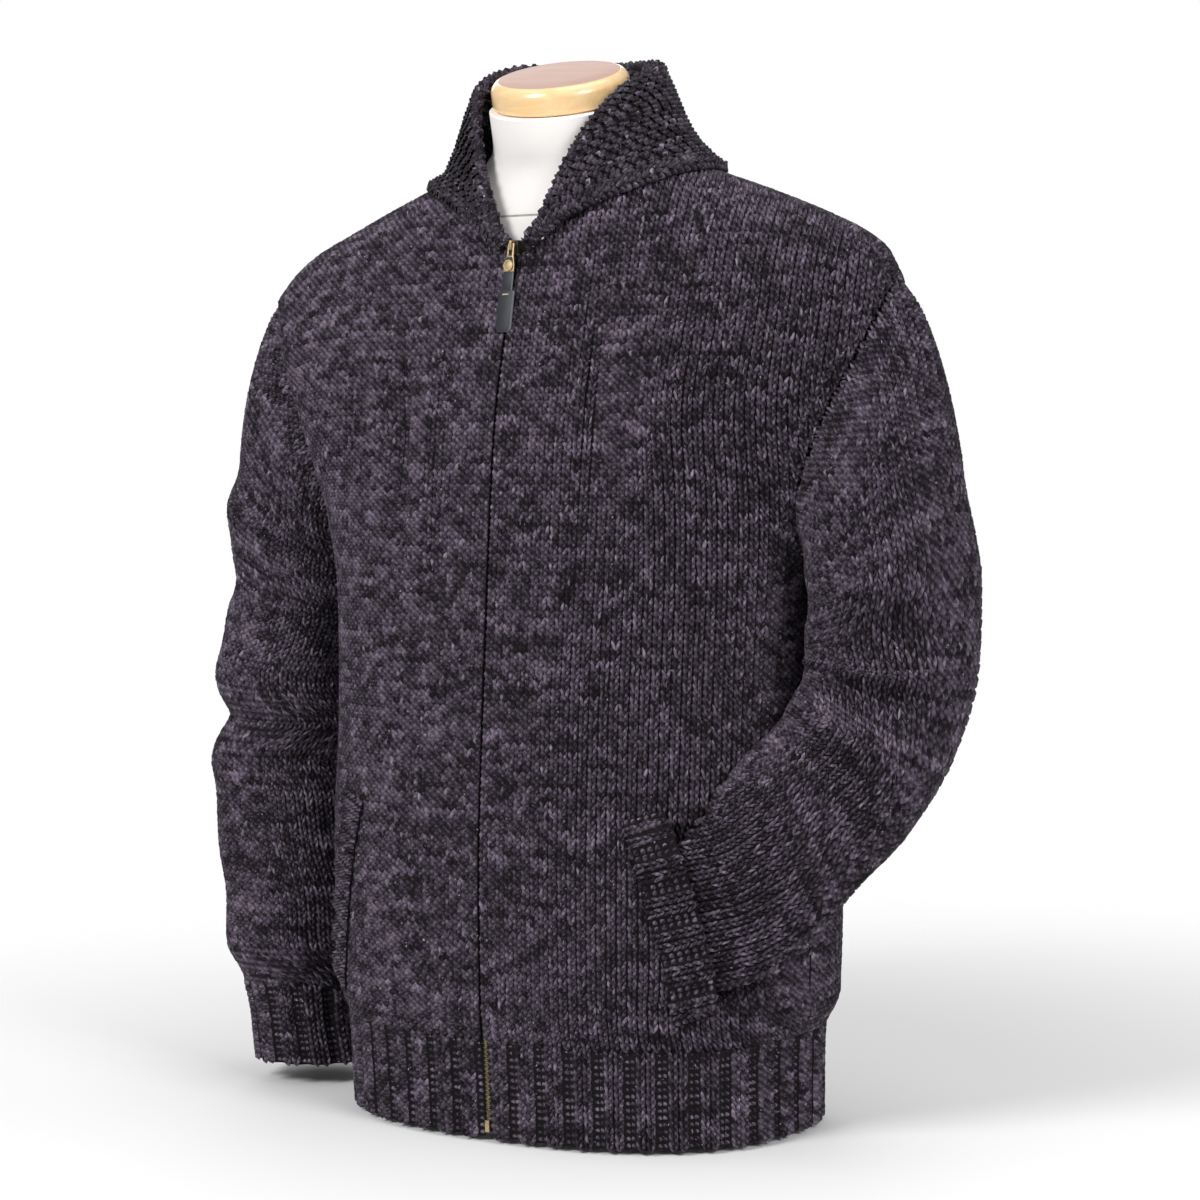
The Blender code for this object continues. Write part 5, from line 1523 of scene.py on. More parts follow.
def hem_piece(name, start, stop, seed):
    length, angle_at = hem_line(start, stop)
    along = np.linspace(0, length, int(length / 0.0022))
    z = np.array([HEM_Z, HEM_Z + 0.012, 0.04, RIB_TOP_Z - 0.012, RIB_TOP_Z])
    share = np.array([1.0, 1.0, 1.0, 0.9, 0.45])[:, None]
    angle, levels = np.repeat(angle_at(along)[None], len(z), 0), np.repeat(z[:, None], len(along), 1)
    normal = level_normal(angle, levels)
    lift = rib_wave(along, length)[None] * share
    face = torso(angle, levels)
    shell = wall(name + "_cloth", face + normal * (lift - SHELL_FACE)[..., None], face - normal * SHELL_BACK)
    place_piece(shell, SHADED_SHELL_WOOL, "marl_knit", BODY_NAME, name)

    def surface(along, down):
        angle, z = angle_at(along), RIB_TOP_Z - down
        fade = 1 - 0.4 * smoothstep((0.012 - down) / 0.012)
        normal = level_normal(angle, z)
        upward_way = np.tile([0.0, 0.0, 1.0], (len(along), 1))
        return torso(angle, z) - normal * (0.0006 * (1 - fade))[:, None], normal, upward_way

    stitches = knit("stitches_" + name, rib_cloth(length, HEM_DEPTH, surface, 900), seed=seed)
    return shell, stitches, length


hem_gap = math.degrees(0.5 * ZIP_GAP_HEM / BODY["front"][0])
HEMS = [
    hem_piece("hem_rib_left", hem_gap, 90 - SEAM_TURN, 11),
    hem_piece("hem_rib_back", 90 + SEAM_TURN, 270 - SEAM_TURN, 12),
    hem_piece("hem_rib_right", 270 + SEAM_TURN, 360 - hem_gap, 13),
]
print("hem", [round(h[2], 3) for h in HEMS])


# %% Cuffs
def cuff_piece(side, with_stitches):
    node = "cuff_left" if side > 0 else "cuff_right"
    at, total = arm_sections(side)
    flip = np.array([side, 1.0, 1.0])
    fine = np.linspace(0, 2 * math.pi, 600)
    middle = section_points(at, np.array([total - CUFF_LENGTH / 2]), fine, 0.0)[0]
    run = run_length(middle)
    length = run[-1]
    along = np.linspace(0, length, int(length / 0.002) + 1)[:-1]
    turn = np.interp(along, run, fine)
    rows = total - CUFF_LENGTH + np.array([0.0, 0.012, 0.03, 0.05, CUFF_LENGTH])
    share = np.array([0.45, 0.9, 1.0, 1.0, 1.0])[:, None]
    outer, inner = (section_points(at, rows, turn, inset) for inset in (0.0, SHELL_BACK))
    way = unit(outer - inner)
    lift = rib_wave(along, length)[None] * share - SHELL_FACE
    shell = wall(node + "_cloth", (outer + way * lift[..., None]) * flip, inner * flip, closed=True)
    place_piece(shell, SHADED_SHELL_WOOL, "marl_knit", BODY_NAME, node)

    def surface(along, down):
        where = np.interp(along, run, fine)
        here = total - CUFF_LENGTH + down
        point, inside, above = (np.zeros((len(along), 3)) for _ in range(3))
        for value in np.unique(here):
            use = here == value
            point[use] = section_points(at, np.array([value]), where[use], 0.0)[0]
            inside[use] = section_points(at, np.array([value]), where[use], 0.004)[0]
            above[use] = section_points(at, np.array([value - 0.003]), where[use], 0.0)[0]
        return point * flip, unit(point - inside) * flip, (above - point) * flip

    stitches = None
    if with_stitches:
        stitches = knit("stitches_" + node, rib_cloth(length, CUFF_LENGTH, surface, 700), seed=15)
    return shell, stitches, length


CUFF_RIGHT, CUFF_LEFT = cuff_piece(-1, True), cuff_piece(1, False)
print("cuffs", round(CUFF_RIGHT[2], 3), round(CUFF_LEFT[2], 3))


# %% Welts
WELT_THICK, WELT_BOLD, WELT_PURL = 0.0035, 0.62, 1.0


def welt_piece(side):
    node = "pocket_welt_left" if side > 0 else "pocket_welt_right"
    length = (WELT_TOP[0] - WELT_FOOT[0]) / math.cos(math.radians(13))

    def lie(share, across):
        """Angle and height at a share of the mouth's length and of the band's width."""
        low = WELT_FOOT[0] + (WELT_FOOT[1] - WELT_FOOT[0]) * across
        top = WELT_TOP[0] + (WELT_TOP[1] - WELT_TOP[0]) * across
        z = low + (top - low) * share
        free = mouth_angle(1, z)
        return side * (free - np.degrees((1 - across) * WELT_WIDTH / base_radius(free, z))), z

    across = np.array([0.0, 0.06, 0.2, 0.4, 0.6, 0.8, 0.94, 1.0])
    along = np.linspace(0, length, int(length / 0.002))
    angle, z = lie(*np.broadcast_arrays(along[None] / length, across[:, None]))
    over = np.ones(z.shape, bool)
    face, normal = torso(angle, z, over), torso_normal(angle, z, over)
    ease = np.array([0.15, 0.7, 1.0, 1.0, 1.0, 1.0, 0.8, 0.5])[:, None]
    lift = WELT_LIFT[side] + WELT_THICK + WELT_BOLD * rib_wave(along, length)[None] * ease
    outside = face + normal * (lift - WELT_SHELL_FACE)[..., None]
    shell = wall(node + "_cloth", outside, face + normal * WELT_LIFT[side])
    place_piece(shell, SHADED_SHELL_WOOL, "marl_knit", BODY_NAME, node)

    def surface(along, down):
        share, over = along / length, np.ones(len(along), bool)
        angle, z = lie(share, down / WELT_WIDTH)
        more, z_more = lie(share, down / WELT_WIDTH - 0.05)
        normal = torso_normal(angle, z, over)
        point = torso(angle, z, over)
        up = torso(more, z_more, over) - point
        return point + normal * (WELT_LIFT[side] + WELT_THICK), normal, up

    welt_cloth = rib_cloth(length, WELT_WIDTH, surface, 500, WELT_BOLD, WELT_PURL)
    return shell, knit("stitches_" + node, welt_cloth, seed=17), length


WELTS = [welt_piece(1), welt_piece(-1)]

# %% [markdown]
# ## Collar
#
# The shawl collar is one wide band, knitted on round the neck and folded over. Its moss stitch puts
# knit and purl loops in turn both ways, so it is covered in small bumps, and its edge is knobbly.
# Its rows run round the neck, and each row has its own even spacing because the band fans out.

# %% Collar sizes
COLLAR_WALL = 0.0055
# From the zip round to the middle of the back: the fold at the top and the fall's outer edge
# Columns: share, fold_x, fold_y, fold_z, edge_x, edge_y, edge_z
COLLAR_ROWS = {
    1: (
        (0.00, 0.0070, -0.0690, 0.6620, 0.0130, -0.0700, 0.6550),
        (0.08, 0.0190, -0.0680, 0.6740, 0.0330, -0.0680, 0.6710),
        (0.17, 0.0320, -0.0630, 0.6960, 0.0600, -0.0590, 0.6860),
        (0.27, 0.0440, -0.0550, 0.7220, 0.0900, -0.0460, 0.6960),
        (0.38, 0.0570, -0.0430, 0.7480, 0.1140, -0.0310, 0.7020),
        (0.50, 0.0680, -0.0190, 0.7720, 0.1290, -0.0080, 0.7090),
        (0.62, 0.0700, 0.0080, 0.7850, 0.1280, 0.0170, 0.7110),
        (0.74, 0.0600, 0.0340, 0.7930, 0.1050, 0.0490, 0.7060),
        (0.87, 0.0350, 0.0580, 0.7960, 0.0600, 0.0850, 0.7000),
        (1.00, 0.0000, 0.0650, 0.7960, 0.0000, 0.0960, 0.6980),
    ),
    -1: (
        (0.00, 0.0070, -0.0690, 0.6620, 0.0130, -0.0700, 0.6550),
        (0.08, 0.0190, -0.0680, 0.6740, 0.0320, -0.0680, 0.6710),
        (0.17, 0.0320, -0.0620, 0.6960, 0.0550, -0.0590, 0.6830),
        (0.27, 0.0440, -0.0530, 0.7220, 0.0780, -0.0460, 0.6920),
        (0.38, 0.0560, -0.0400, 0.7560, 0.1010, -0.0310, 0.6980),
        (0.50, 0.0670, -0.0190, 0.7820, 0.1180, -0.0080, 0.7020),
        (0.62, 0.0690, 0.0080, 0.7930, 0.1180, 0.0170, 0.7050),
        (0.74, 0.0600, 0.0340, 0.7980, 0.1000, 0.0490, 0.7020),
        (0.87, 0.0350, 0.0580, 0.7960, 0.0600, 0.0850, 0.6990),
        (1.00, 0.0000, 0.0650, 0.7960, 0.0000, 0.0960, 0.6980),
    ),
}


def neckline(side, share):
    """Middle of the stand's foot, just inside the neck edge of the fronts and the back."""
    share = np.asarray(share, float)
    front = np.clip(share / 0.55, 0, 1)
    z = NECK_V_Z + 0.0020 + (NECK_TOP_Z - NECK_V_Z - 0.0020) * front
    angle = np.where(share < 0.55, neck_edge(z), 72.0 + (180.0 - 72.0) * (share - 0.55) / 0.45)
    face = torso(side * angle, z)
    normal = torso_normal(side * angle, z)
    core = np.stack([np.zeros(share.shape), np.full(share.shape, 0.002), z + 0.03], -1)
    inward = core - face
    inward = unit(inward - (inward * normal).sum(-1, keepdims=True) * normal)
    point = face - normal * WALL / 2 + inward * (COLLAR_WALL / 2 + 0.0036)
    point[..., 0] = side * np.maximum(side * point[..., 0], 0.0)
    return point * np.array([side, 1.0, 1.0])


def collar_section(seam, fold, edge, wall, roll):
    """Middle line of the folded cloth from the neck seam up over the fold to the outer edge."""
    outward = edge - seam
    outward = outward - np.array([0, 0, 1.0]) * outward[2] * 0.6
    outward = outward / np.linalg.norm(outward)
    rise = fold - (seam + edge) / 2
    rise = rise - outward * (rise @ outward)
    up = rise / np.linalg.norm(rise)
    peak = fold - up * (wall / 2)
    centre = peak - up * roll
    line = []
    for t in np.linspace(0, 0.9, 10):
        start, stop = seam, centre - outward * roll
        line.append(start * (1 - t) + stop * t)
    for turn in np.linspace(180, 0, 13):
        a = math.radians(turn)
        line.append(centre + outward * roll * math.cos(a) + up * roll * math.sin(a))
    start, stop = centre + outward * roll, edge
    sag = np.linalg.norm(stop - start) * 0.09
    for t in np.linspace(0.08, 1.0, 20):
        bend = 6.75 * t * t * (1 - t) * sag
        line.append(start * (1 - t) + stop * t - outward * bend)
    return np.array(line), outward, up


# %% Collar surface
COLLAR_LIFT = 0.0006


def collar_grids(steps):
    """The collar's shown face and its underside, from the zip on the right round to the zip on the left."""
    half = np.concatenate([np.linspace(0, 0.2, steps // 4)[:-1], np.linspace(0.2, 1.0, steps)])
    rows_out, rows_in = [], []
    for side in (-1, 1):
        table = np.array(COLLAR_ROWS[side])
        flip = np.array([side, 1.0, 1.0])
        for s in half if side < 0 else half[-2::-1]:
            values = [float(smooth_interp(np.array(s), table[:, 0], table[:, i])) for i in range(1, 7)]
            seam = neckline(side, s)
            seam[0] = 0.0 if s == 1.0 else max(seam[0], 0.0065)
            full = float(smoothstep(np.array(s / 0.16)))
            thick, roll = 0.0022 + (COLLAR_WALL - 0.0022) * full, 0.0014 + 0.0028 * full
            line, out, up = collar_section(seam, np.array(values[:3]), np.array(values[3:]), thick, roll)
            normal = unit(np.cross(unit(np.gradient(line, axis=0)), np.cross(out, up)))
            face, back = line + normal * thick / 2, line - normal * thick / 2
            fall = slice(18, len(line))
            shift = clear_of_torso(face[fall], side, 2 * CLEARANCE) - face[fall]
            face[fall] += shift
            back[fall] += shift
            rows_out.append(face * flip)
            rows_in.append(back * flip)
    return np.array(rows_in), np.array(rows_out)


shown, under = collar_grids(48)
COLLAR = wall("collar_cloth", shown - (shown - under) * 0.2, under)
place_piece(COLLAR, SHADED_SHELL_WOOL, "marl_knit", BODY_NAME, "collar")
print("collar area", round(cloth_area(COLLAR), 3))


# %% Moss stitch
MOSS_WIDE, MOSS_HIGH = 0.0050, 0.0038
EDGE_BUMP = 0.0058


def section_length(outer):
    """Distance of every point of the band from its outer edge, along each section."""
    back = outer[:, ::-1]
    step = np.linalg.norm(np.diff(back, axis=1), axis=2)
    return back, np.concatenate([np.zeros((len(outer), 1)), np.cumsum(step, 1)], 1)


def band_row(back, inside, reach, distance):
    """The line along the band at one distance from its edge, with its inner line and its sections."""
    use = np.flatnonzero(reach[:, -1] >= distance)
    place = [
        [np.interp(distance, reach[i], grid[i, :, k]) for k in range(3)]
        for grid in (back, inside)
        for i in use
    ]
    place = np.array(place).reshape(2, len(use), 3)
    return use, place[0], place[1]


def moss_stitches(outer, inner):
    back, reach = section_length(outer)
    inside = inner[:, ::-1]
    rows = {key: [] for key in ("at", "normal", "wale", "size", "purl", "yarn", "flat")}

    def lay(use, line, under, above, wide, high, r, edge):
        for part in np.split(np.arange(len(use)), np.flatnonzero(np.diff(use) > 1) + 1):
            if len(part) < 3:
                continue
            run = run_length(line[part])
            count = int(run[-1] / wide)
            if count < 1:
                continue
            here = (np.arange(count) + 0.5) * run[-1] / count

            def at(grid):
                return along_line(here, run, grid[part])

            point, normal = at(line), unit(at(line) - at(under))
            up = at(above) - point
            up = unit(up - (up * normal).sum(1, keepdims=True) * normal)
            purl = (np.arange(count) + r) % 2 == 0
            lift = np.where(purl, 0.0004, -0.0008) + COLLAR_LIFT
            size = np.ones((count, 3))
            size[:, 0] = run[-1] / count / STITCH_WIDE * np.where(purl, 1.15, 1.05)
            size[:, 1] = high / STITCH_HIGH * np.where(purl, 1.35, 1.2)
            size[:, 2] = np.where(purl, 1.25, 1.1)
            if edge:
                purl[:] = True
                lift[:] = 0.0
                size[:, 2] = 1.4
            rows["at"].append(point + normal * lift[:, None])
            rows["normal"].append(normal)
            rows["wale"].append(up)
            rows["size"].append(size)
            rows["purl"].append(purl)
            start = run[-1] / 2
            rows["yarn"].append(pair(here - start, 300.0 + r))
            rows["flat"].append(pair(here - start, -r * high))

    for r in range(int(reach[:, -1].max() / MOSS_HIGH)):
        use, line, under = band_row(back, inside, reach, (r + 0.75) * MOSS_HIGH)
        further = band_row(back, inside, reach, (r + 0.70) * MOSS_HIGH)
        pick = np.searchsorted(further[0], use)
        lay(use, line, under, further[1][pick], MOSS_WIDE, MOSS_HIGH, r, False)
    edge, under_edge, before = back[:, 0], inside[:, 0], back[:, 1]
    middle = (edge + under_edge) / 2
    below_edge = middle - unit(edge - before)
    above_edge = under_edge + (under_edge - edge)
    lay(np.arange(len(edge)), middle, below_edge, above_edge, MOSS_WIDE, EDGE_BUMP, -1, True)
    return {key: np.concatenate(value) for key, value in rows.items()}


# The neck seam keeps at least this turn, in degrees, from the middle: 5.2 mm at 70 mm from the axis
NECK_LEAST_TURN = math.degrees(0.0052 / 0.07)


def neck_seam(side, sink):
    """The seam that joins the collar to a front, from the zip up to the shoulder."""
    z = np.linspace(NECK_V_Z - 0.004, NECK_TOP_Z - 0.004, 120)
    angle = side * np.maximum(neck_edge(np.maximum(z, NECK_V_Z)), NECK_LEAST_TURN)
    point, normal = torso(angle, z), torso_normal(angle, z)
    across = np.tile([-side * 1.0, 0.0, 0.3], (len(z), 1))
    return seam_bumps(point - normal * sink, normal, across, 660 + side)


NECK_SEAM_SINKS = (0.0004, 0.0034, 0.0064)
collar_parts = [moss_stitches(shown, under)]
collar_parts += [neck_seam(side, sink) for side in (1, -1) for sink in NECK_SEAM_SINKS]
collar_cloth = {key: np.concatenate([part[key] for part in collar_parts]) for key in collar_parts[0]}
# The collar takes the darker yarn: painted shade for its moss stitch
STITCHES_COLLAR = knit("stitches_collar", collar_cloth, seed=19, unevenness=0.14, yarn=SHADED_MOSS_WOOL)

# %% [markdown]
# ## Zip
#
# A metal zip with antique brass teeth closes the fronts. The tapes lie behind the edges of the
# fronts, and the teeth close in the narrow gap. Each tooth is a small block with a rounded nose that
# reaches past the middle, set half a step from its neighbours on the other side. The slider, the
# bottom box and the puller are small castings, so the frame's own solids get rounded edges.

# %% Metal, leather and tape
def wear_group():
    """Shared by metal and leather: blotches of tarnish and paler rubbed patches."""
    tree, given, result = new_group(
        "rubbed",
        (
            ("Place", "NodeSocketVector", None),
            ("Grain", "NodeSocketFloat", 900.0),
            ("Blotch", "NodeSocketFloat", 160.0),
            ("Dark", "NodeSocketColor", (0.1, 0.06, 0.02, 1.0)),
            ("Pale", "NodeSocketColor", (0.6, 0.45, 0.2, 1.0)),
        ),
        (("Color", "NodeSocketColor"), ("Roughness", "NodeSocketFloat"), ("Height", "NodeSocketFloat")),
    )

    def spots(scale):
        made = tree.nodes.new("ShaderNodeTexNoise")
        made.inputs["Detail"].default_value = 3.0
        tree.links.new(given["Place"], made.inputs["Vector"])
        tree.links.new(given[scale], made.inputs["Scale"])
        return made.outputs["Fac"]

    blotch, grain = spots("Blotch"), spots("Grain")
    blotch_share = math_node(tree, "MULTIPLY_ADD", blotch, 1.2, -0.35)
    share = math_node(tree, "MULTIPLY_ADD", grain, 0.5, blotch_share, clamp=True)
    tree.links.new(mix_colour(tree, share, given["Dark"], given["Pale"]), result["Color"])
    tree.links.new(ramp(tree, share, 0.0, 1.0, 0.55, 0.30), result["Roughness"])
    tree.links.new(grain, result["Height"])
    return tree


RUBBED = wear_group()


def rubbed_material(name, dark, pale, metallic, grain, blotch, bump, own_roughness=None):
    made, tree, shader = new_material(name)
    group = tree.nodes.new("ShaderNodeGroup")
    group.node_tree = RUBBED
    tree.links.new(object_place(tree), group.inputs["Place"])
    measures = {"Grain": grain, "Blotch": blotch, "Dark": (*dark, 1.0), "Pale": (*pale, 1.0)}
    for label, value in measures.items():
        group.inputs[label].default_value = value
    add_bump(tree, shader, group.outputs["Height"], bump, 0.0002)
    tree.links.new(group.outputs["Color"], shader.inputs["Base Color"])
    if own_roughness is None:
        tree.links.new(group.outputs["Roughness"], shader.inputs["Roughness"])
    else:
        shader.inputs["Roughness"].default_value = own_roughness
    shader.inputs["Metallic"].default_value = metallic
    return made


BRASS = rubbed_material(
    "worn_brass", (0.30, 0.20, 0.09), (0.80, 0.66, 0.40), 1.0, 1400.0, 260.0, 0.2
)
TEETH_BRASS = rubbed_material(
    "teeth_brass", (0.12, 0.085, 0.045), (0.46, 0.37, 0.22), 1.0, 1400.0, 200.0, 0.2
)
DARK_BRASS = rubbed_material(
    "dark_brass", (0.020, 0.016, 0.012), (0.060, 0.048, 0.030), 0.6, 900.0, 300.0, 0.5, 0.6
)
LEATHER = rubbed_material(
    "slate_leather", (0.006, 0.008, 0.013), (0.018, 0.022, 0.034), 0.0, 1600.0, 120.0, 0.5, 0.5
)
LEATHER_EDGE = rubbed_material(
    "leather_edge", (0.13, 0.13, 0.15), (0.30, 0.30, 0.33), 0.0, 1600.0, 500.0, 0.4, 0.7
)
TAPE = rubbed_material(
    "zip_tape", (0.010, 0.010, 0.012), (0.030, 0.030, 0.034), 0.0, 3000.0, 900.0, 0.6, 0.85
)
print("zip materials", BRASS.name, LEATHER.name, TAPE.name)


# The slider's bridge is rubbed bright, and its body behind this line is dark
SLIDER_FACE_Y = -0.0702


# %% Small castings from the frame's own solids
def merged_copy(node, name):
    """A copy of one of the frame's solids with its loose triangles merged."""
    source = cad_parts[node]
    work = bmesh.new()
    work.from_mesh(source.data)
    work.transform(source.matrix_world)
    bmesh.ops.remove_doubles(work, verts=work.verts, dist=1e-6)
    bmesh.ops.dissolve_limit(work, angle_limit=math.radians(1.0), verts=work.verts, edges=work.edges)
    mesh = bpy.data.meshes.new(name)
    work.to_mesh(mesh)
    work.free()
    made = bpy.data.objects.new(name, mesh)
    bpy.context.scene.collection.objects.link(made)
    return made


def rounded_copy(node, name, radius, material, slot, body, segments=3):
    made = merged_copy(node, name)
    step = made.modifiers.new("round", "BEVEL")
    step.width, step.segments, step.limit_method = radius, segments, "ANGLE"
    step.angle_limit = math.radians(30)
    graph = bpy.context.evaluated_depsgraph_get()
    mesh = bpy.data.meshes.new_from_object(made.evaluated_get(graph))
    made.modifiers.clear()
    made.data = mesh
    mesh.shade_smooth()
    mesh.set_sharp_from_angle(angle=math.radians(40))
    return place_piece(made, material, slot, body, node)


SLIDER = rounded_copy("zip_slider", "slider_casting", 0.0006, BRASS, "antique_brass", BODY_NAME)
SLIDER.data.materials.append(DARK_BRASS)
for face in SLIDER.data.polygons:
    face.material_index = int(face.center[1] > SLIDER_FACE_Y)
BOX = rounded_copy("zip_box", "bottom_box", 0.0005, BRASS, "antique_brass", BODY_NAME)
PULLER = rounded_copy("pull_frame", "puller_casting", 0.0004, BRASS, "antique_brass", PULL_NAME)
print("castings", len(SLIDER.data.polygons), len(BOX.data.polygons), len(PULLER.data.polygons))


# %% Puller's leather
# Where the pull hangs from, and how far it leans from upright
HINGE = (0.0, -0.0722, 0.6590)
PULL_LEAN = math.radians(11.4)


def leather_copy(node, name):
    """A leather piece with soft corners. Its faces are slate and its cut edges pale."""
    made = rounded_copy(node, name, 0.00035, LEATHER, "slate_leather", PULL_NAME, 2)
    made.data.materials.append(LEATHER_EDGE)
    depth = np.array([0.0, math.cos(PULL_LEAN), -math.sin(PULL_LEAN)])
    for face in made.data.polygons:
        face.material_index = int(abs(np.dot(depth, face.normal)) < 0.55)
    return made


leather_copy("pull_strap", "leather_strap")
leather_copy("pull_tab", "leather_tab")


def hanging(a, d, depth):
    """A point of the pull: across, down from the hinge and behind it."""
    c, s = math.cos(PULL_LEAN), math.sin(PULL_LEAN)
    return (a, HINGE[1] - d * s + depth * c, HINGE[2] - d * c - depth * s)


def small_plate(name, outline, low, high, place):
    """A plate from an outline of across and down, between two depths."""
    points = [place(a, d, low) for a, d in outline] + [place(a, d, high) for a, d in outline]
    n = len(outline)
    faces = [tuple(range(n - 1, -1, -1)), tuple(range(n, 2 * n))]
    faces += [(i, (i + 1) % n, n + (i + 1) % n, n + i) for i in range(n)]
    return outward(new_object(name, points, faces, 40))


# The strap's end fills the frame above the rivet, and a bright staple holds the tab's top
INLAY = ((-0.0026, 0.0098), (0.0026, 0.0098), (0.0038, 0.0153), (-0.0038, 0.0153))
inlay_made = small_plate("strap_end", INLAY, -0.0011, -0.0004, hanging)
inlay = place_piece(inlay_made, LEATHER, "slate_leather", PULL_NAME)
STAPLE = ((-0.0028, 0.0372), (0.0028, 0.0372), (0.0028, 0.0382), (-0.0028, 0.0382))
staple_made = small_plate("tab_staple", STAPLE, -0.0017, -0.0010, hanging)
staple = place_piece(staple_made, BRASS, "antique_brass", PULL_NAME)
ring_turns = np.linspace(0, 2 * math.pi, 25)[:-1]
ring_points, ring_faces = [], []
for i, t in enumerate(ring_turns):
    for radius, depth in ((0.0042, -0.0013), (0.0042, -0.0019), (0.0033, -0.0019), (0.0033, -0.0013)):
        ring_points.append(hanging(radius * math.cos(t), 0.0160 + radius * math.sin(t), depth))
    here, after = 4 * i, 4 * ((i + 1) % len(ring_turns))
    ring_faces += [(here + k, here + (k + 1) % 4, after + (k + 1) % 4, after + k) for k in range(4)]
rivet_rim = outward(new_object("rivet_rim", ring_points, ring_faces, 50))
place_piece(rivet_rim, BRASS, "antique_brass", PULL_NAME)


# %% Tapes
CHAIN_DEPTH = WALL + 0.0007
CHAIN_HALF = 0.0022
TAPE_WIDTH = 0.014
TAPE_THICK = 0.0012
TAPE_FOOT, TAPE_TOP = HEM_Z + 0.002, 0.6455


def tape(side):
    name = "zip_tape_left" if side > 0 else "zip_tape_right"
    z = np.linspace(TAPE_FOOT, TAPE_TOP, 90)
    columns = []
    for x in np.linspace(CHAIN_HALF + 0.0003, CHAIN_HALF + TAPE_WIDTH, 5):
        angle, over = side * np.degrees(np.arcsin(x / base_radius(0.0, z))), np.ones(len(z), bool)
        face, normal = torso(angle, z, over), torso_normal(angle, z, over)
        columns.append((face - normal * (WALL + 0.0006), face - normal * (WALL + 0.0006 + TAPE_THICK)))
    outer, inner = (np.stack([c[i] for c in columns], 1) for i in (0, 1))
    return place_piece(wall(name + "_cloth", outer, inner), TAPE, "zip_tape", BODY_NAME, name)


TAPES = [tape(1), tape(-1)]

# %% Teeth
TOOTH_PITCH = 0.0016
TOOTH_OUTLINE = (
    (-0.0022, -0.00055),
    (-0.0022, 0.00055),
    (-0.0006, 0.00045),
    (0.0003, 0.00062),
    (0.0010, 0.00035),
    (0.0010, -0.00035),
    (0.0003, -0.00062),
    (-0.0006, -0.00045),
)


def make_teeth_tree():
    tree, given, result = new_group(
        "zip_teeth",
        (
            ("Path", "NodeSocketGeometry", None),
            ("Tooth", "NodeSocketObject", None),
            ("Pitch", "NodeSocketFloat", TOOTH_PITCH),
            ("Metal", "NodeSocketMaterial", None),
        ),
        (("Teeth", "NodeSocketGeometry"),),
        "GeometryNodeTree",
    )
    link = tree.links.new
    curve = tree.nodes.new("GeometryNodeMeshToCurve")
    link(given["Path"], curve.inputs[0])
    even = tree.nodes.new("GeometryNodeResampleCurve")
    even.mode = "LENGTH"
    link(curve.outputs[0], even.inputs["Curve"])
    link(given["Pitch"], even.inputs["Length"])
    axes = tree.nodes.new("FunctionNodeAxesToRotation")
    axes.primary_axis, axes.secondary_axis = "Z", "Y"
    link(tree.nodes.new("GeometryNodeInputTangent").outputs[0], axes.inputs[0])
    axes.inputs[1].default_value = (0.0, -1.0, 0.0)
    odd = tree.nodes.new("ShaderNodeMath")
    odd.operation = "MODULO"
    odd.inputs[1].default_value = 2.0
    link(tree.nodes.new("GeometryNodeInputIndex").outputs[0], odd.inputs[0])
    angle = tree.nodes.new("ShaderNodeMath")
    angle.operation = "MULTIPLY"
    angle.inputs[1].default_value = math.pi
    link(odd.outputs[0], angle.inputs[0])
    half_turn = tree.nodes.new("FunctionNodeAxisAngleToRotation")
    half_turn.inputs["Axis"].default_value = (0.0, 0.0, 1.0)
    link(angle.outputs[0], half_turn.inputs["Angle"])
    turned = tree.nodes.new("FunctionNodeRotateRotation")
    turned.rotation_space = "LOCAL"
    link(axes.outputs[0], turned.inputs[0])
    link(half_turn.outputs[0], turned.inputs[1])
    source = tree.nodes.new("GeometryNodeObjectInfo")
    link(given["Tooth"], source.inputs["Object"])
    put = tree.nodes.new("GeometryNodeInstanceOnPoints")
    link(even.outputs[0], put.inputs["Points"])
    link(source.outputs["Geometry"], put.inputs["Instance"])
    link(turned.outputs[0], put.inputs["Rotation"])
    real = tree.nodes.new("GeometryNodeRealizeInstances")
    link(put.outputs[0], real.inputs[0])
    paint = tree.nodes.new("GeometryNodeSetMaterial")
    link(real.outputs[0], paint.inputs["Geometry"])
    link(given["Metal"], paint.inputs["Material"])
    link(paint.outputs[0], result[0])
    return tree


def tooth():
    made = small_plate("zip_tooth", TOOTH_OUTLINE, -0.0010, 0.0010, lambda a, d, depth: (a, depth, d))
    bpy.context.scene.collection.objects.unlink(made)
    return made


# Heights of the lowest and the highest closed tooth
CHAIN_ENDS = (0.0172, 0.6518)


def zip_teeth():
    z = np.linspace(*CHAIN_ENDS, 160)
    face = torso(np.zeros(len(z)), z)
    line = np.stack([np.zeros(len(z)), face[:, 1] + CHAIN_DEPTH + 0.0011, z], 1)
    made = new_object("zip_teeth", line, [])
    made.data.edges.add(len(z) - 1)
    pairs = np.stack([np.arange(len(z) - 1), np.arange(1, len(z))], 1)
    made.data.edges.foreach_set("vertices", pairs.ravel())
    run_tree(made, make_teeth_tree(), {"Tooth": tooth(), "Metal": TEETH_BRASS, "Pitch": TOOTH_PITCH})
    print("teeth triangles", sum(len(f.vertices) - 2 for f in made.data.polygons))
    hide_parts("zip_chain")
    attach(made, BODY_NAME)
    return made


zip_teeth()

# %% [markdown]
# ## Dress form
#
# The cardigan is worn by a limbless form: a body padded and covered with off-white cotton, a seam
# round the foot of the neck, and a turned wooden cap that closes the neck. The cover is a loft of
# oval rings, drawn in where the cardigan rests on it. The cap is a lathe profile on a tilted axis.

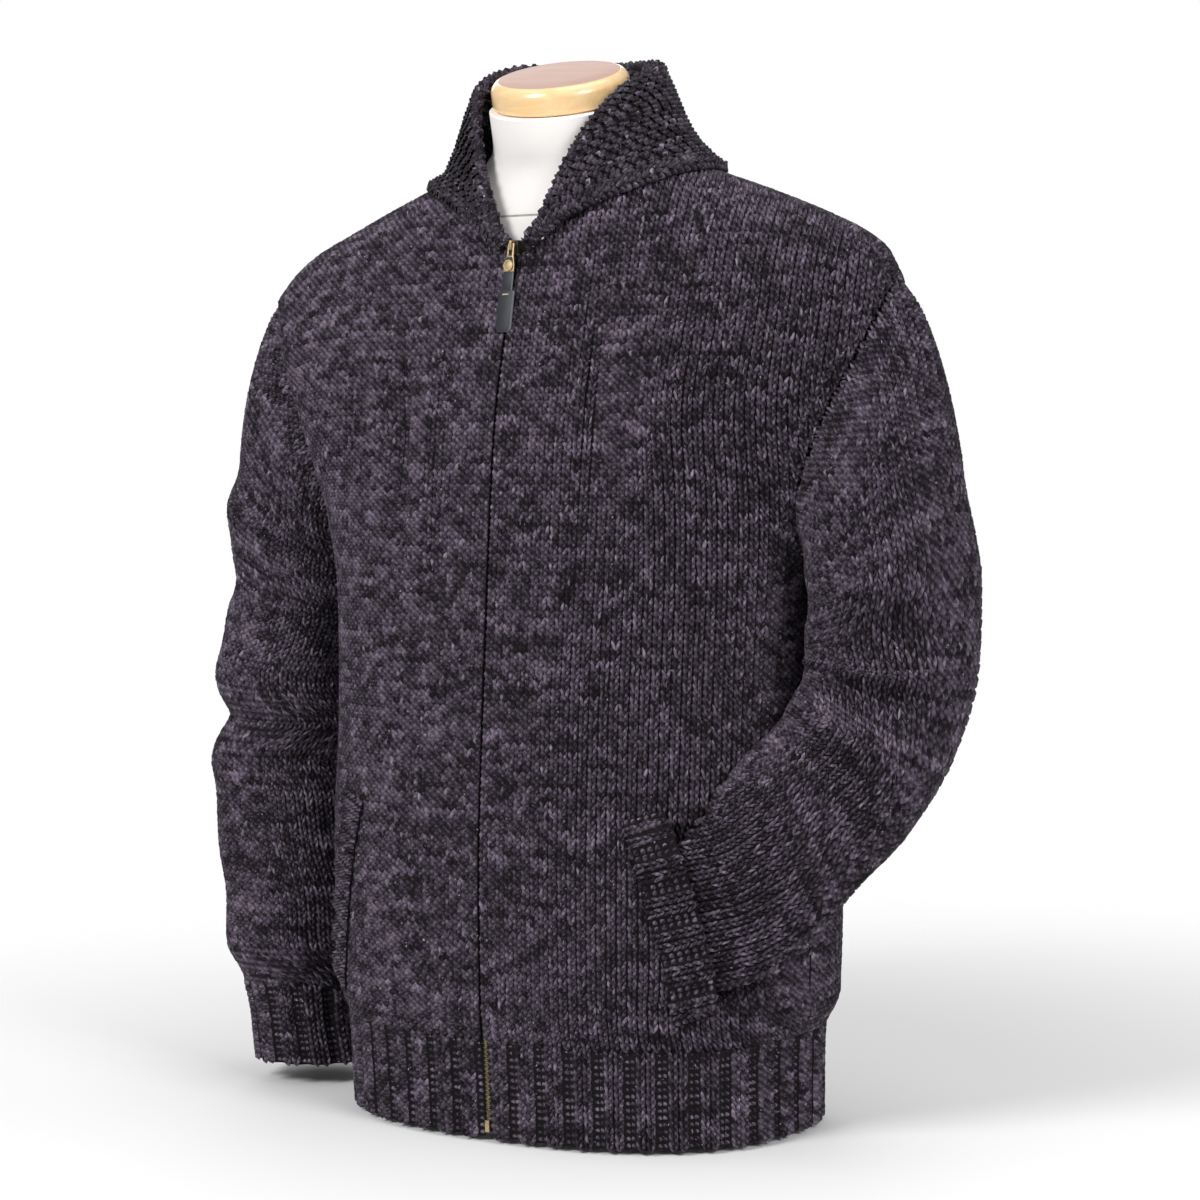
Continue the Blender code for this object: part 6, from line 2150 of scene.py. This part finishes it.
# %% Cotton cover material
def make_cotton():
    made, tree, shader = new_material("form_cotton")
    place = object_place(tree)
    tone = noise(tree, place, 9.0, 2.0, 0.5)
    colour = mix_colour(tree, ramp(tree, tone, 0.3, 0.7), (0.965, 0.935, 0.905), (0.99, 0.965, 0.94))
    tree.links.new(colour, shader.inputs["Base Color"])
    warp = noise(tree, stretched(tree, place, (1800.0, 1800.0, 300.0)), 1.0, 1.0, 0.5)
    weft = noise(tree, stretched(tree, place, (300.0, 300.0, 1800.0)), 1.0, 1.0, 0.5)
    add_bump(tree, shader, math_node(tree, "ADD", warp, weft), 0.25, 0.0003)
    shader.inputs["Roughness"].default_value = 0.9
    shader.inputs["Sheen Weight"].default_value = 0.15
    return made


COTTON = make_cotton()
COTTON_SEAM = rubbed_material(
    "cotton_seam", (0.34, 0.31, 0.29), (0.50, 0.46, 0.43), 0.0, 900.0, 300.0, 0.2, 0.9
)


# %% Body of the form
# Columns: z, half_width, front_y, back_y, squareness
FORM_ROWS = (
    (0.000, 0.158, -0.098, 0.086, 2.3),
    (0.020, 0.163, -0.101, 0.090, 2.3),
    (0.100, 0.166, -0.104, 0.097, 2.3),
    (0.200, 0.165, -0.103, 0.099, 2.3),
    (0.300, 0.160, -0.097, 0.097, 2.3),
    (0.420, 0.170, -0.090, 0.097, 2.2),
    (0.500, 0.186, -0.084, 0.092, 2.1),
    (0.560, 0.200, -0.074, 0.083, 2.0),
    (0.610, 0.208, -0.062, 0.072, 1.9),
    (0.640, 0.208, -0.055, 0.068, 1.9),
    (0.660, 0.202, -0.052, 0.066, 1.9),
    (0.676, 0.184, -0.050, 0.063, 1.9),
    (0.690, 0.156, -0.048, 0.060, 1.95),
    (0.704, 0.116, -0.046, 0.056, 2.0),
    (0.716, 0.078, -0.047, 0.050, 2.0),
    (0.735, 0.056, -0.053, 0.047, 2.0),
    (0.766, 0.0535, -0.061, 0.044, 2.0),
)
CAP_CENTRE = (0.000, -0.0085, 0.7865)
CAP_LEAN = (0.092, -0.290)
FORM_CLEARANCE = 0.0026
FORM_TOP = 0.7645
NECK_SEAM_Z, SEAM_DEPTH = 0.6810, 0.0005


def under_cloth(x, y, height):
    """Draw a ring of the form in where the cloth would rest on it."""
    if height > NECK_TOP_Z:
        return x, y
    angle = np.degrees(np.arctan2(x, -y))
    z = np.full(angle.shape, height)
    level = np.linalg.norm(torso_normal(angle, z)[:, :2], axis=1)
    limit = base_radius(angle, z) + fold_offset(angle, z) - (WALL + FORM_CLEARANCE) / level
    share = np.minimum(1.0, limit / np.hypot(x, y))
    open_neck = smoothstep((62.0 - np.abs(angle)) / 12.0) * smoothstep(np.array((height - 0.690) / 0.012))
    share = share + (1.0 - share) * open_neck
    return x * share, y * share


# From this height up the form's neck leans to meet the cap
LEAN_FROM = 0.70


def form_cover():
    table = np.array(FORM_ROWS)
    seam = NECK_SEAM_Z + np.array([-0.0022, -0.0008, 0.0, 0.0008, 0.0022])
    even = np.linspace(0.0, FORM_TOP, 110)
    z = np.sort(np.concatenate([even[np.abs(even - NECK_SEAM_Z) > 0.003], seam]))
    turn = full_turn(96)
    rings = []
    for height in z:
        measures = [smooth_interp(np.array(height), table[:, 0], table[:, i]) for i in range(1, 5)]
        wide, front, back, n = map(float, measures)
        across, along = np.sin(turn), -np.cos(turn)
        scale = (np.abs(across) ** n + np.abs(along) ** n) ** (-1.0 / n)
        x, y = wide * across * scale, (front + back) / 2 + (back - front) / 2 * along * scale
        x, y = under_cloth(x, y, height)
        sink = SEAM_DEPTH * max(0.0, 1.0 - abs(height - NECK_SEAM_Z) / 0.0010)
        x, y = x * (1 - sink / wide), y * (1 - sink / wide)
        lean = smoothstep(np.array((height - LEAN_FROM) / (FORM_TOP - LEAN_FROM)))
        level = height - lean * (CAP_LEAN[0] * x + CAP_LEAN[1] * (y - CAP_CENTRE[1]))
        rings.append(np.stack([x, y, level], 1))
    points = np.concatenate(rings)
    count, last = len(turn), (len(z) - 1) * len(turn)
    faces = []
    for r in range(len(z) - 1):
        for c in range(count):
            d = (c + 1) % count
            faces.append((r * count + c, r * count + d, (r + 1) * count + d, (r + 1) * count + c))
    faces += [tuple(range(count - 1, -1, -1)), tuple(range(last, last + count))]
    made = outward(new_object("form_cover", points, faces, 50))
    place_piece(made, COTTON, "form_linen", BODY_NAME, "form_torso")
    made.data.materials.append(COTTON_SEAM)
    for face in made.data.polygons:
        face.material_index = int(abs(face.center[2] - NECK_SEAM_Z) < 0.0007)
    return made


COVER = form_cover()

# %% Cap
# Radius and height down from the cap's top face, from the middle of the top to the middle below
CAP_PROFILE = (
    (0.0000, 0.0000),
    (0.0250, 0.0000),
    (0.0462, -0.0001),
    (0.0484, -0.0010),
    (0.0503, -0.0028),
    (0.0518, -0.0050),
    (0.0525, -0.0074),
    (0.0525, -0.0170),
    (0.0521, -0.0188),
    (0.0512, -0.0199),
    (0.0500, -0.0204),
    (0.0250, -0.0205),
    (0.0000, -0.0205),
)


def wood(name, dark, pale, rough, coat):
    made, tree, shader = new_material(name)
    place = object_place(tree)
    wide = noise(tree, stretched(tree, place, (14.0, 190.0, 190.0)), 1.0, 3.0, 0.6)
    fine = noise(tree, stretched(tree, place, (60.0, 900.0, 900.0)), 1.0, 2.0, 0.5)
    grain_bands = math_node(tree, "MULTIPLY_ADD", wide, 1.1, -0.2)
    share = math_node(tree, "MULTIPLY_ADD", fine, 0.35, grain_bands, clamp=True)
    tree.links.new(mix_colour(tree, share, dark, pale), shader.inputs["Base Color"])
    shader.inputs["Roughness"].default_value = rough
    shader.inputs["Coat Weight"].default_value = coat
    shader.inputs["Coat Roughness"].default_value = 0.12
    return made


CAP_SIDE = wood("cap_side", (0.86, 0.52, 0.21), (1.0, 0.76, 0.44), 0.3, 0.7)
# The top face gets its own darker, greyer colour of the same wood: painted light, for the light that falls on
# the top and reflects off it
CAP_TOP_PAINTED_LIGHT = wood("cap_face", (0.44, 0.28, 0.23), (0.56, 0.38, 0.32), 0.6, 0.1)


# A face in line with the cap's axis by more than this share is its top, and takes the painted-light colour
CAP_TOP_SHARE = 0.985


def wooden_cap():
    up = unit(np.array([CAP_LEAN[0], CAP_LEAN[1], 1.0]))
    right = unit(np.cross(np.array([0.0, 1.0, 0.0]), up))
    ahead = np.cross(up, right)
    turn = full_turn(96)
    points = [np.array(CAP_CENTRE)]
    circle_points = np.outer(np.cos(turn), right) + np.outer(np.sin(turn), ahead)
    for radius, rise in CAP_PROFILE[1:-1]:
        ring = np.array(CAP_CENTRE) + up * rise + circle_points * radius
        points += list(ring)
    points.append(np.array(CAP_CENTRE) + up * CAP_PROFILE[-1][1])
    count, last = len(turn), len(points) - 1
    faces = [(0, 1 + c, 1 + (c + 1) % count) for c in range(count)]
    for r in range(len(CAP_PROFILE) - 3):
        at = 1 + r * count
        for c in range(count):
            d = (c + 1) % count
            faces.append((at + c, at + count + c, at + count + d, at + d))
    faces += [(last, last - count + (c + 1) % count, last - count + c) for c in range(count)]
    made = outward(new_object("wooden_cap", points, faces, 50))
    place_piece(made, CAP_SIDE, "honey_wood", BODY_NAME, "form_cap")
    made.data.materials.append(CAP_TOP_PAINTED_LIGHT)
    # The top faces take the colour of painted light
    for face in made.data.polygons:
        face.material_index = int(np.dot(up, face.normal) > CAP_TOP_SHARE)
    return made


CAP = wooden_cap()
print("form", len(COVER.data.polygons), "cap", len(CAP.data.polygons))

# %% [markdown]
# ## The cut of the cloth
#
# A table gives the flat size that each cloth piece was knitted to: width, length and, where it isn't a
# rectangle, its area. A worn piece stretches or gathers a little, so these differ from the walls.

# %% Sheets
# Columns: piece, stitches, flat, area, held, rests_on
SHEETS = (
    (FRONT_LEFT, [STITCHES_FRONT_LEFT], (0.300, 0.655), 0.168, "draped", [COVER]),
    (FRONT_RIGHT, [STITCHES_FRONT_RIGHT], (0.300, 0.655), 0.168, "draped", [COVER]),
    (BACK, STITCHES_BACK, (0.570, 0.680), 0.340, "draped", [COVER]),
    (SLEEVE_LEFT, [STITCHES_SLEEVE_LEFT], (0.440, 0.520), 0.160, "hung", [FRONT_LEFT]),
    (SLEEVE_RIGHT, [STITCHES_SLEEVE_RIGHT], (0.440, 0.560), 0.180, "hung", [FRONT_RIGHT]),
    (CUFF_LEFT[0], [], (0.240, 0.062), None, "gathered", [SLEEVE_LEFT]),
    (CUFF_RIGHT[0], [CUFF_RIGHT[1]], (0.240, 0.062), None, "gathered", [SLEEVE_RIGHT]),
    (HEMS[0][0], [HEMS[0][1]], (0.240, 0.072), None, "stretched", [FRONT_LEFT]),
    (HEMS[1][0], [HEMS[1][1]], (0.470, 0.072), None, "stretched", [BACK]),
    (HEMS[2][0], [HEMS[2][1]], (0.240, 0.072), None, "stretched", [FRONT_RIGHT]),
    (COLLAR, [STITCHES_COLLAR], (0.700, 0.165), 0.075, "folded", [FRONT_LEFT, FRONT_RIGHT, BACK]),
    (WELTS[0][0], [WELTS[0][1]], (WELTS[0][2], WELT_WIDTH), None, "laid", [FRONT_LEFT]),
    (WELTS[1][0], [WELTS[1][1]], (WELTS[1][2], WELT_WIDTH), None, "laid", [FRONT_RIGHT]),
    (TAPES[0], [], (TAPE_WIDTH, TAPE_TOP - TAPE_FOOT), None, "hung", [FRONT_LEFT]),
    (TAPES[1], [], (TAPE_WIDTH, TAPE_TOP - TAPE_FOOT), None, "hung", [FRONT_RIGHT]),
)
for piece, stitches, flat, area, held, rests_on in SHEETS:
    shown = cloth_area(piece)
    cut = area or flat[0] * flat[1]
    print(piece.name, "shown", round(shown, 4), "cut", round(cut, 4), "share", round(shown / cut, 2))
